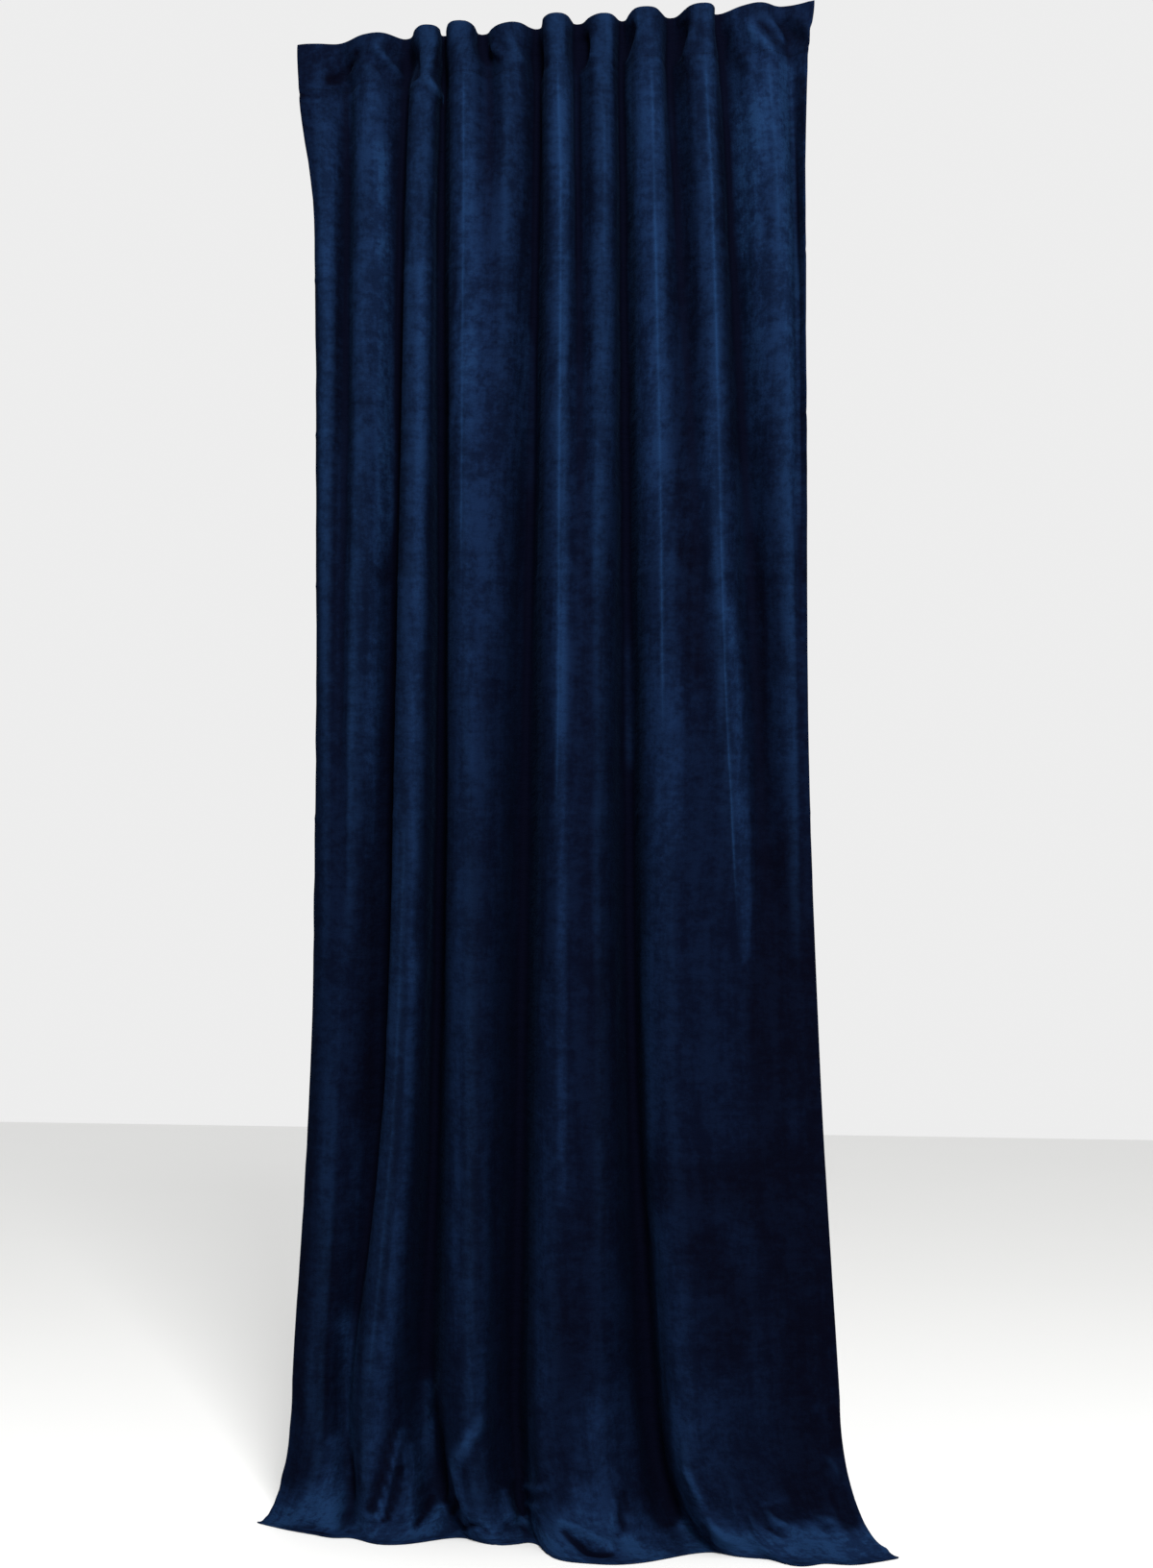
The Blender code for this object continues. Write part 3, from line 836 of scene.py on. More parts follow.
    def brushed_and_painted_light(self, grid: Array, down: Array) -> Array:
        """How much painted light or shade the patches and bands put on the nap.

        Args:
            grid: The points of the front face.
            down: Distance below the top edge of the flat cloth.

        Returns:
            A value from -1 to 1 for each point.
        """
        light = np.zeros(down.shape)
        for patch in PATCHES:
            across = (grid[..., 0] / MM - patch.place[0]) / patch.reach[0]
            along = (down / MM - patch.place[1]) / patch.reach[1]
            light += patch.lightness * np.exp(-((across**2 + along**2) ** self.patch_power))
        place = np.stack([grid[..., 0], down], axis=-1)
        for band in BANDS:
            nearest, along = beside(band.path, place)
            width = (band.widths[0] + (band.widths[1] - band.widths[0]) * along) * MM
            light += band.lightness * np.exp(-((nearest / width) ** self.band_power))
        return np.clip(light, -1.0, 1.0)

    def laid(self, front: Array, facing: Array, down: Array, thickness: Array) -> tuple[Array, Array]:
        """Rests the hem on the floor, and gives the sheet its back.

        Args:
            front: The points of the front face.
            facing: The way that the plain folds face there.
            down: Distance below the top edge of the flat cloth.
            thickness: How thick the cloth is at each point.

        Returns:
            The points of the front face and those of the back.
        """
        floor = -self.cloth.drop
        underneath = thickness * np.maximum(facing[..., 2], 0.0)
        front[..., 2] -= (thickness - underneath) * self.held(down)
        front[..., 2] = np.maximum(front[..., 2], floor + underneath)
        back = front - facing * thickness[..., None]
        back[..., 2] = np.maximum(back[..., 2], floor + self.clearance)
        return front, back

    def closed(self, front: Array, back: Array, thickness: Array, ring: Array) -> tuple[Array, Array]:
        """Joins the front and the back by a rounded rim.

        Args:
            front: The points of the front face.
            back: The points of the back.
            thickness: How thick the cloth is at each point.
            ring: The points of the front that lie round its edge, in order.

        Returns:
            All the points, and the four point numbers of each face.
        """
        bulge = edge_directions(front) * (thickness * self.edge_bulge)[..., None]
        middle = (front + back) / 2 + bulge
        points = np.vstack([front.reshape(-1, 3), back.reshape(-1, 3), middle.reshape(-1, 3)[ring]])
        front_faces = squares(*thickness.shape)
        back_faces = front_faces[:, ::-1] + thickness.size
        after = np.roll(np.arange(len(ring)), -1)
        rim = 2 * thickness.size + np.arange(len(ring))
        behind = ring + thickness.size
        front_rim = np.column_stack([ring, ring[after], rim[after], rim])
        back_rim = np.column_stack([rim, rim[after], behind[after], behind])
        return points, np.vstack([front_faces, back_faces, front_rim, back_rim])

    def shown(self, thickness: Array, face_count: int) -> Array:
        """Which Side each face shows: the reverse behind the single cloth, and the nap elsewhere.

        Args:
            thickness: How thick the cloth is at each point.
            face_count: How many faces the closed sheet has.

        Returns:
            The Side's value for each face.
        """
        corners = squares(*thickness.shape)
        single = thickness.ravel()[corners].min(axis=1) < self.cloth.doubled - self.slack
        shown = np.full(face_count, Side.NAP.value, dtype=np.int32)
        shown[len(corners):2 * len(corners)][single] = Side.REVERSE.value
        return shown

    def build(self) -> bpy.types.Object:
        """Makes the closed sheet with its cloth coordinates, and leaves its two faces to be dressed.

        Returns:
            The new object, whose faces carry the Side they show.
        """
        rows = self.rows()
        front, across, facing = self.front(rows)
        down = np.repeat(rows[:, None], front.shape[1], axis=1)
        thickness = self.cloth.thickness(across, down)
        front, back = self.laid(front, facing, down, thickness)
        self.row_lengths, self.across = rows, across
        self.faces = {Side.NAP: front, Side.REVERSE: back}

        ring = border(*down.shape)
        points, faces = self.closed(front, back, thickness, ring)
        mesh = bpy.data.meshes.new("curtain_cloth")
        mesh.from_pydata(points.tolist(), [], faces.tolist())
        mesh.shade_smooth()
        mesh.polygons.foreach_set("material_index", self.shown(thickness, len(faces)))

        flat = np.stack([across, down, np.zeros_like(down)], axis=-1).reshape(-1, 3)
        # Curvature and openness to the room drive the painted highlights on crests and the painted shade in
        # folds; the back gets the painted shade of its own folds.
        bent = curvature(front, normals(front)).ravel()
        lit = openness(front).ravel()
        lit_behind = openness(back * (1.0, -1.0, 1.0)).ravel()
        # Painted light and shade of the patches and bands, weaker on the back, and the painted highlight
        # lines along the listed crests.
        brushed_and_painted_light = self.brushed_and_painted_light(front, down).ravel()
        painted_crest_lines = self.painted_crest_lines(rows).ravel()
        self.store(mesh, "cloth_place", "FLOAT_VECTOR", flat, flat, ring)
        self.store(mesh, "cloth_bend", "FLOAT", bent, -bent, ring)
        self.store(mesh, "cloth_open", "FLOAT", lit, lit_behind, ring)
        self.store(mesh, "cloth_brushed_and_painted_light", "FLOAT", brushed_and_painted_light, brushed_and_painted_light * self.brushed_and_painted_light_behind, ring)
        self.store(mesh, "cloth_crest_highlight", "FLOAT", painted_crest_lines, np.zeros_like(painted_crest_lines), ring)
        sheet = bpy.data.objects.new("curtain_cloth", mesh)
        bpy.context.scene.collection.objects.link(sheet)
        return sheet

    @staticmethod
    def store(mesh: bpy.types.Mesh, name: str, kind: str, front: Array, back: Array, ring: Array) -> None:
        """Stores a value on each point of the sheet, for the finishes.

        Args:
            mesh: The sheet's mesh.
            name: The attribute's name.
            kind: FLOAT or FLOAT_VECTOR.
            front: The values on the front face, one row for each point.
            back: The values on the back face.
            ring: The points of the front that lie round its edge, in order.
        """
        values = np.concatenate([front, back, front[ring]]).astype(np.float32)
        layer = mesh.attributes.new(name, kind, "POINT")
        layer.data.foreach_set("value" if kind == "FLOAT" else "vector", values.ravel())

    def spots(self, across: Array, down: Array, side: Side) -> Array:
        """Points on one face of the built sheet.

        Args:
            across: Distances from the left edge of the flat cloth.
            down: Distances below the top edge of the flat cloth.
            side: The face.

        Returns:
            One point for each pair of distances.
        """
        grid, rows = self.faces[side], self.row_lengths
        below = np.clip(np.searchsorted(rows, down), 1, len(rows) - 1)
        share = (down - rows[below - 1]) / (rows[below] - rows[below - 1])
        points = np.empty((len(down), 3))
        for i, (k, t) in enumerate(zip(below, share)):
            for axis in range(3):
                above = np.interp(across[i], self.across[k - 1], grid[k - 1, :, axis])
                under = np.interp(across[i], self.across[k], grid[k, :, axis])
                points[i, axis] = above * (1 - t) + under * t
        return points


class Seam(NamedTuple):
    """A straight row of stitches on one face, from its start to its end as (across, down) in metres."""

    side: Side
    start: Pair
    end: Pair


@dataclass(frozen=True)
class Stitching:
    """Rows of thread stitches, each a short closed spindle whose ends sink into the cloth."""

    panel: Panel
    stitch: float = 0.0036
    gap: float = 0.0014
    radius: float = 0.00035
    rise: float = 0.0002
    sink: float = 0.0004
    sides: int = 5
    shoulders: Pair = (0.22, 0.78)
    from_edge: float = 0.006
    side_row: float = 0.023
    hem_row: float = 0.077
    below_heading: float = 0.086
    above_hem_row: float = 0.004

    def heading(self) -> bpy.types.Object:
        """Makes the row that holds the heading.

        Returns:
            The thread, which shows on both faces of the cloth.
        """
        start = (self.from_edge, self.panel.stitch_row)
        end = (self.panel.cloth.width - self.from_edge, self.panel.stitch_row)
        return self.build("heading_stitching", [Seam(side, start, end) for side in Side])

    def hems(self) -> bpy.types.Object:
        """Makes the rows that hold the side hems and the bottom hem.

        Returns:
            The thread, which shows on the back alone.
        """
        cloth = self.panel.cloth
        hem = cloth.length - self.hem_row
        sides = [
            Seam(Side.REVERSE, (across, self.below_heading), (across, hem - self.above_hem_row))
            for across in (self.side_row, cloth.width - self.side_row)
        ]
        bottom = Seam(Side.REVERSE, (self.from_edge, hem), (cloth.width - self.from_edge, hem))
        return self.build("hem_stitching", [*sides, bottom])

    def build(self, name: str, seams: list[Seam]) -> bpy.types.Object:
        """Makes one object of these seams.

        Args:
            name: The object's name.
            seams: The rows of stitches.

        Returns:
            The new object.
        """
        points: list[Array] = []
        faces: list[tuple[int, ...]] = []
        for seam in seams:
            for stitch in self.spindles(seam):
                faces.extend(self.spindle_faces(len(points)))
                points.extend(stitch)
        mesh = bpy.data.meshes.new(name)
        mesh.from_pydata([tuple(point) for point in points], [], faces)
        mesh.shade_smooth()
        thread = bpy.data.objects.new(name, mesh)
        bpy.context.scene.collection.objects.link(thread)
        return thread

    def spindles(self, seam: Seam) -> list[Array]:
        """The points of every stitch in one seam.

        Args:
            seam: The row of stitches.

        Returns:
            For each stitch its head, a ring of points at each shoulder, and its tail.
        """
        start, way = np.array(seam.start), np.array(seam.end) - np.array(seam.start)
        length = float(np.linalg.norm(way))
        count = int(length / (self.stitch + self.gap))
        first = np.arange(count) * (self.stitch + self.gap) / length
        heads = start + first[:, None] * way
        tails = heads + way * self.stitch / length
        other = Side.REVERSE if seam.side is Side.NAP else Side.NAP
        head = self.panel.spots(heads[:, 0], heads[:, 1], seam.side)
        tail = self.panel.spots(tails[:, 0], tails[:, 1], seam.side)
        out = head - self.panel.spots(heads[:, 0], heads[:, 1], other)
        out /= np.linalg.norm(out, axis=1)[:, None]
        along = tail - head
        along /= np.linalg.norm(along, axis=1)[:, None]
        aside = np.cross(along, out)
        turns = np.arange(self.sides) * 2 * math.pi / self.sides
        stitches = []
        for i in range(count):
            circle = [self.radius * (math.cos(t) * out[i] + math.sin(t) * aside[i]) for t in turns]
            rings = []
            for share in self.shoulders:
                middle = head[i] * (1 - share) + tail[i] * share + out[i] * self.rise
                rings.extend(middle + point for point in circle)
            ends = (head[i] - out[i] * self.sink, tail[i] - out[i] * self.sink)
            stitches.append(np.array([ends[0], *rings, ends[1]]))
        return stitches

    def spindle_faces(self, first: int) -> list[tuple[int, ...]]:
        """The faces of one stitch.

        Args:
            first: The number of the stitch's first point.

        Returns:
            The point numbers of each face.
        """
        near = [first + 1 + i for i in range(self.sides)]
        far = [point + self.sides for point in near]
        last = first + 1 + 2 * self.sides
        faces: list[tuple[int, ...]] = []
        for i in range(self.sides):
            k = (i + 1) % self.sides
            faces += [(first, near[k], near[i]), (near[i], near[k], far[k], far[i]), (far[i], far[k], last)]
        return faces


def beside(path: Path, place: Array) -> tuple[Array, Array]:
    """Where places on the cloth lie beside a path on it.

    Args:
        path: The path's points in mm.
        place: The places in metres.

    Returns:
        Each place's distance from the path, and how far along the path it is, from 0 to 1.
    """
    points = np.array(path) * MM
    ways = np.diff(points, axis=0)
    lengths = np.linalg.norm(ways, axis=1)
    starts = np.concatenate([[0.0], np.cumsum(lengths)])
    nearest = np.full(place.shape[:2], np.inf)
    along = np.zeros(place.shape[:2])
    for start, way, length, before in zip(points, ways, lengths, starts):
        t = np.clip(((place - start) @ way) / length**2, 0.0, 1.0)
        off = np.linalg.norm(place - start - t[..., None] * way, axis=-1)
        closer = off < nearest
        nearest = np.where(closer, off, nearest)
        along = np.where(closer, (before + t * length) / starts[-1], along)
    return nearest, along


def normals(grid: Array) -> Array:
    """The front face's unit normals over a grid of its points."""
    around = np.cross(np.gradient(grid, axis=0), np.gradient(grid, axis=1))
    return around / np.linalg.norm(around, axis=2)[..., None]


def curvature(grid: Array, facing: Array, evened: int = 4) -> Array:
    """How sharply the cloth bends both ways, as one over a radius in metres, positive on ridges.

    Args:
        grid: The points of the face.
        facing: Its unit normals.
        evened: How many times each point is evened out with its neighbours.

    Returns:
        One value for each point.
    """
    bent = np.zeros(grid.shape[:2])
    for axis in (0, 1):
        ahead, behind = np.diff(grid, axis=axis), -np.diff(grid, axis=axis)
        inner = (slice(1, -1), slice(None)) if axis == 0 else (slice(None), slice(1, -1))
        front = ahead[1:] if axis == 0 else ahead[:, 1:]
        back = behind[:-1] if axis == 0 else behind[:, :-1]
        reach_front = np.linalg.norm(front, axis=2)[..., None]
        reach_back = np.linalg.norm(back, axis=2)[..., None]
        turn = (front / reach_front + back / reach_back) * 2 / (reach_front + reach_back)
        bent[inner] -= (turn * facing[inner]).sum(axis=2)
    for _ in range(evened):
        bent[:, 1:-1] = (bent[:, :-2] + 2 * bent[:, 1:-1] + bent[:, 2:]) / 4
        bent[1:-1] = (bent[:-2] + 2 * bent[1:-1] + bent[2:]) / 4
    return bent


def openness(grid: Array, evened: int = 2) -> Array:
    """How much of the room in front each point sees past the folds beside it.

    Args:
        grid: The points of the face.
        evened: How many times each point is evened out with its neighbours.

    Returns:
        A value from 0 to 1 for each point.
    """
    seen = np.empty(grid.shape[:2])
    for row, points in enumerate(grid):
        x, y = points[:, 0], points[:, 1]
        across = x[None, :] - x[:, None]
        ahead = y[:, None] - y[None, :]
        order = np.arange(len(x))
        right = order[None, :] > order[:, None] + 1
        left = order[None, :] < order[:, None] - 1
        rise_right = np.where(right, np.arctan2(ahead, across), 0.0).max(axis=1)
        rise_left = np.where(left, np.arctan2(ahead, -across), 0.0).max(axis=1)
        view = np.cos(np.minimum(rise_right, math.pi / 2)) + np.cos(np.minimum(rise_left, math.pi / 2))
        seen[row] = view / 2
    for _ in range(evened):
        seen[:, 1:-1] = (seen[:, :-2] + 2 * seen[:, 1:-1] + seen[:, 2:]) / 4
    return seen


def squares(rows: int, columns: int) -> Array:
    """The squares of a grid of points.

    Args:
        rows: How many rows of points the grid has.
        columns: How many points each row has.

    Returns:
        The numbers of the four points round each square.
    """
    index = np.arange(rows * columns).reshape(rows, columns)
    upper_left, upper_right = index[:-1, :-1].ravel(), index[:-1, 1:].ravel()
    lower_left, lower_right = index[1:, :-1].ravel(), index[1:, 1:].ravel()
    return np.column_stack([upper_left, lower_left, lower_right, upper_right])


def border(rows: int, columns: int) -> Array:
    """The outline of a grid of points.

    Args:
        rows: How many rows of points the grid has.
        columns: How many points each row has.

    Returns:
        The numbers of the points along the top, down the right, along the hem and up the left.
    """
    index = np.arange(rows * columns).reshape(rows, columns)
    left, bottom = index[:-1, 0], index[-1, :-1]
    right, top = index[:0:-1, -1], index[0, :0:-1]
    return np.concatenate([left, bottom, right, top])[::-1]


def edge_directions(grid: Array) -> Array:
    """The way out of the cloth at its edge.

    Args:
        grid: The points of the face.

    Returns:
        A unit vector for each point on the edge, and zero inside it.
    """
    outward = np.zeros_like(grid)
    outward[:, 0] += grid[:, 0] - grid[:, 1]
    outward[:, -1] += grid[:, -1] - grid[:, -2]
    outward[0] += grid[0] - grid[1]
    outward[-1] += grid[-1] - grid[-2]
    length = np.linalg.norm(outward, axis=2)
    return outward / np.maximum(length, 1e-9)[..., None]


@dataclass(frozen=True)
class Grain:
    """Smooth noise: how fine and rough it is, how it is stretched, and its share of a mix or height."""

    scale: float
    detail: float
    roughness: float = 0.5
    stretch: tuple[float, float, float] | None = None
    share: float = 1.0


@dataclass(frozen=True)
class Fade:
    """A smooth change between two values, while another value goes from low to high."""

    low: float
    high: float
    at_low: float = 0.0
    at_high: float = 1.0


class Wire:
    """A value on its way through a material's nodes, so that shader maths reads as Python."""

    def __init__(self, graph: "Graph", socket: bpy.types.NodeSocket) -> None:
        """Holds one output socket of a node in the graph."""
        self.graph = graph
        self.socket = socket

    def maths(self, operation: str, *values: Any, clamp: bool = False) -> "Wire":
        """Adds a Math node on these values, clamped to 0 to 1 if asked."""
        settings = {"operation": operation, "use_clamp": clamp}
        return self.graph.node("ShaderNodeMath", settings, dict(enumerate(values)))

    def __add__(self, other: Any) -> "Wire":
        """This plus other."""
        return self.maths("ADD", self, other)

    def __radd__(self, other: Any) -> "Wire":
        """Other plus this."""
        return self.maths("ADD", other, self)

    def __sub__(self, other: Any) -> "Wire":
        """This less other."""
        return self.maths("SUBTRACT", self, other)

    def __rsub__(self, other: Any) -> "Wire":
        """Other less this."""
        return self.maths("SUBTRACT", other, self)

    def __mul__(self, other: Any) -> "Wire":
        """This times other."""
        return self.maths("MULTIPLY", self, other)

    def __rmul__(self, other: Any) -> "Wire":
        """Other times this."""
        return self.maths("MULTIPLY", other, self)

    def clamped(self) -> "Wire":
        """This, held between 0 and 1."""
        return self.maths("ADD", self, 0.0, clamp=True)


class Graph:
    """A material's node tree, with one method that adds any node."""

    def __init__(self, name: str) -> None:
        """Starts a material with its Principled shader, and nothing linked to it."""
        self.material = bpy.data.materials.new(name)
        self.material.use_nodes = True
        self.tree = self.material.node_tree
        self.shader = self.tree.nodes["Principled BSDF"]

    def node(self, kind: str, settings: dict[str, Any], inputs: dict[Any, Any], output: Any = 0) -> Wire:
        """Adds a node.

        Args:
            kind: The node's type.
            settings: Its properties, and "stops" for a ramp's (position, colour) pairs.
            inputs: A value or a Wire for each socket, by name or number.
            output: The output wanted, by name or number.

        Returns:
            That output.
        """
        made = self.tree.nodes.new(kind)
        for name, value in settings.items():
            if name == "stops":
                self.set_stops(made.color_ramp, value)
            else:
                setattr(made, name, value)
        for name, value in inputs.items():
            self.join(made.inputs[name], value)
        return Wire(self, made.outputs[output])

    @staticmethod
    def set_stops(ramp: bpy.types.ColorRamp, stops: list[tuple[float, tuple[float, ...]]]) -> None:
        """Gives a ramp these stops in place of its own two.

        Args:
            ramp: The ramp.
            stops: The position and colour of each stop, in order.
        """
        while len(ramp.elements) < len(stops):
            ramp.elements.new(1.0)
        for element, (position, colour) in zip(ramp.elements, stops):
            element.position = position
            element.color = colour

    def join(self, socket: bpy.types.NodeSocket, value: Any) -> None:
        """Links a Wire to a socket, or sets the socket to a value.

        Args:
            socket: The input socket.
            value: The Wire or the value.
        """
        if isinstance(value, Wire):
            self.tree.links.new(value.socket, socket)
        else:
            socket.default_value = value

    def mixed(self, first: Any, second: Any, share: Any, blend: str = "MIX") -> Wire:
        """Mixes two colours.

        Args:
            first: The colour at share 0.
            second: The colour at share 1.
            share: How much of the second.
            blend: The Mix node's blend type.

        Returns:
            The mixed colour.
        """
        settings = {"data_type": "RGBA", "blend_type": blend}
        return self.node("ShaderNodeMix", settings, {"Factor": share, 6: first, 7: second}, 2)

    def stretched(self, vector: Wire, scale: tuple[float, float, float]) -> Wire:
        """The vector with each axis multiplied."""
        return self.node("ShaderNodeVectorMath", {"operation": "MULTIPLY"}, {0: vector, 1: scale})

    def noise(self, vector: Wire, grain: Grain) -> Wire:
        """Smooth noise over the vector.

        Args:
            vector: The places.
            grain: The noise's scale, detail, roughness and stretch.

        Returns:
            The noise, from 0 to 1.
        """
        if grain.stretch is not None:
            vector = self.stretched(vector, grain.stretch)
        inputs = {"Scale": grain.scale, "Detail": grain.detail, "Roughness": grain.roughness}
        return self.node("ShaderNodeTexNoise", {}, {"Vector": vector, **inputs})

    def attribute(self, name: str, output: str = "Fac") -> Wire:
        """A value stored on the mesh."""
        return self.node("ShaderNodeAttribute", {"attribute_name": name}, {}, output)

    def part(self, vector: Wire, axis: int) -> Wire:
        """One axis of a vector."""
        return self.node("ShaderNodeSeparateXYZ", {}, {0: vector}, axis)

    def faded(self, value: Wire, fade: Fade) -> Wire:
        """Maps a value smoothly by a fade, and holds it at the ends.

        Args:
            value: The value.
            fade: The range that it comes from, and what it becomes at each end.

        Returns:
            The mapped value.
        """
        source = {"Value": value, "From Min": fade.low, "From Max": fade.high}
        target = {"To Min": fade.at_low, "To Max": fade.at_high}
        return self.node("ShaderNodeMapRange", {"interpolation_type": "SMOOTHSTEP"}, {**source, **target})

    def bumped(self, height: Wire, strength: float, distance: float) -> Wire:
        """A normal that shows this height as relief of this many metres."""
        inputs = {"Height": height, "Strength": strength, "Distance": distance}
        return self.node("ShaderNodeBump", {}, inputs)


@dataclass(frozen=True)
class Velvet:
    """Low-pile velvet: dark where its nap stands and lighter in random strokes, with light and shade
    painted into
    its colour: painted highlights on the crests, painted shade in the folds and hollows, painted light on
    the upper part and on the hem, painted light and shade along the bands, and darker along the heading.

    Each pair of lights or shares is one value, and how much is added to it, or taken off it, where
    the nap's strokes are laid down.
    """

    standing: Colour = (0.0014, 0.0023, 0.0074, 1.0)
    # The lighter nap, and the painted light of the upper part, the hem and the light bands.
    brushed_and_painted_light: Colour = (0.0036, 0.0094, 0.0292, 1.0)
    # Painted shade in the folds' valleys and hollows.
    shaded: Colour = (0.0014, 0.0018, 0.0056, 1.0)
    # Painted highlight on the ridges' crests and on the lightest places.
    ridge: Colour = (0.0064, 0.0200, 0.0570, 1.0)
    # Painted shade of the dark bands and patches, and the darker heading.
    gloom: Colour = (0.0012, 0.0014, 0.0041, 1.0)
    blotches: Grain = Grain(13.0, 5.0, 0.70, (1.0, 0.62, 1.0), share=0.38)
    mottle: Grain = Grain(52.0, 3.0, 0.6, (0.8, 1.2, 1.0), share=0.24)
    streaks: Grain = Grain(1.0, 4.0, 0.6, (46.0, 3.4, 1.0), share=0.22)
    crumbs: Grain = Grain(150.0, 3.0, 0.6, share=0.16)
    rumples: Grain = Grain(1.0, 4.0, 0.6, (20.0, 46.0, 1.0), share=0.0060)
    pile: Grain = Grain(900.0, 2.0, 0.7, share=0.0002)
    crumb_height: float = 0.0011
    bump: float = 0.8
    strokes: Fade = Fade(0.42, 0.58)
    # Painted light on the upper part and on the hem, darker along the heading, painted highlights where the
    # cloth bends out, painted shade in hollows and deep folds, and the painted highlight of the lightest
    # places.
    upper: Fade = Fade(0.35, 1.45, 1.0, 0.0)
    heading: Fade = Fade(0.045, 0.095, 0.28, 0.0)
    hem: Fade = Fade(2.33, 2.42, 0.0, 0.80)
    crest: Fade = Fade(8.0, 90.0)
    hollow: Fade = Fade(-110.0, -12.0, 1.0, 0.0)
    deep: Fade = Fade(0.15, 0.72, 0.85, 0.0)
    glow: Fade = Fade(0.85, 2.2)
    speckle: Fade = Fade(0.3, 0.7, 0.80, 1.20)
    stroke_light: float = 0.30
    upper_stroke_light: float = 0.36
    upper_light: float = 0.10
    # Shares of the painted light of the hem, bands and patches, of the painted shade of the dark bands, the
    # heading and the hollows, and of the painted crest highlights.
    laid_light: Pair = (0.55, 0.75)
    gloom_share: Pair = (0.95, 0.30)
    hollow_share: float = 0.75
    patch_relief: float = 0.6
    crest_light: Pair = (0.30, 0.40)
    line_light: Pair = (0.45, 0.55)
    roughness: Fade = Fade(0.0, 1.0, 0.94, 0.78)
    specular: float = 0.0
    sheen: float = 0.014
    sheen_roughness: float = 0.35
    sheen_tint: Colour = (0.16, 0.36, 0.85, 1.0)

    def material(self) -> bpy.types.Material:
        """Builds the node material.

        Returns:
            The material of the nap.
        """
        graph = Graph("velvet nap")
        place = graph.attribute("cloth_place", "Vector")
        crumbs = graph.noise(place, self.crumbs)
        pile = graph.noise(place, self.pile)
        strokes = graph.noise(place, self.blotches) * self.blotches.share
        strokes += graph.noise(place, self.mottle) * self.mottle.share
        strokes += graph.noise(place, self.streaks) * self.streaks.share
        strokes = graph.faded(strokes + crumbs * self.crumbs.share, self.strokes)
        speckle = graph.faded(pile, self.speckle)
        grey = graph.node("ShaderNodeCombineXYZ", {}, {0: speckle, 1: speckle, 2: speckle})
        colour = graph.mixed(self.colour(graph, place, strokes), grey, 1.0, "MULTIPLY")
        relief = graph.noise(place, self.rumples) * self.rumples.share
        relief = relief + crumbs * self.crumb_height + pile * self.pile.share

        inputs = graph.shader.inputs
        graph.join(inputs["Base Color"], colour)
        graph.join(inputs["Roughness"], graph.faded(strokes, self.roughness))
        graph.join(inputs["Normal"], graph.bumped(relief, self.bump, 1.0))
        inputs["Specular IOR Level"].default_value = self.specular
        inputs["Sheen Weight"].default_value = self.sheen
        inputs["Sheen Roughness"].default_value = self.sheen_roughness
        inputs["Sheen Tint"].default_value = self.sheen_tint
        return graph.material

    def colour(self, graph: Graph, place: Wire, strokes: Wire) -> Wire:
        """The nap's colour, with its painted light and shade, before its speckle.

        Args:
            graph: The material's nodes.
            place: Each point's place on the flat cloth.
            strokes: How far its strokes are laid down, from 0 to 1.

        Returns:
            The colour.
        """
        down = graph.part(place, 1)
        bend = graph.attribute("cloth_bend")
        painted_light_and_shade = graph.attribute("cloth_brushed_and_painted_light")
        line = graph.attribute("cloth_crest_highlight")
        # Painted light on the upper part of the cloth, and darker along the heading.
        high = graph.faded(down, self.upper)
        at_top = graph.faded(down, self.heading)
        # Painted light on the hem that lies on the floor, with the painted light and shade of the patches
        # and bands.
        laid = painted_light_and_shade + graph.faded(down, self.hem) - at_top
        lightness = strokes * (self.stroke_light + self.upper_stroke_light * high)
        lightness += self.upper_light * high
        lightness += laid.maths("MAXIMUM", laid, 0.0) * (self.laid_light[0] + self.laid_light[1] * strokes)
        colour = graph.mixed(self.standing, self.brushed_and_painted_light, lightness.clamped())
        # Painted highlight where the lightness runs highest.
        colour = graph.mixed(colour, self.ridge, graph.faded(lightness, self.glow))

        # Painted shade of the dark bands and patches, and darker along the heading.
        darker = (at_top - painted_light_and_shade).clamped()
        gloom = darker * (self.gloom_share[0] - self.gloom_share[1] * strokes)
        colour = graph.mixed(colour, self.gloom, gloom)
        # Painted shade: darker where little of the room is seen past the folds, and in hollows.
        deep = graph.faded(graph.attribute("cloth_open"), self.deep)
        shade = (deep + self.hollow_share * graph.faded(bend, self.hollow)).clamped()
        colour = graph.mixed(colour, self.shaded, shade * (1.0 - self.patch_relief * painted_light_and_shade.clamped()))

        # Painted highlights along the crests, where the cloth bends out and along the listed crest lines.
        light = graph.faded(bend, self.crest) * (self.crest_light[0] + self.crest_light[1] * strokes)
        light += line * line * (self.line_light[0] + self.line_light[1] * strokes)
        return graph.mixed(colour, self.ridge, light.clamped())


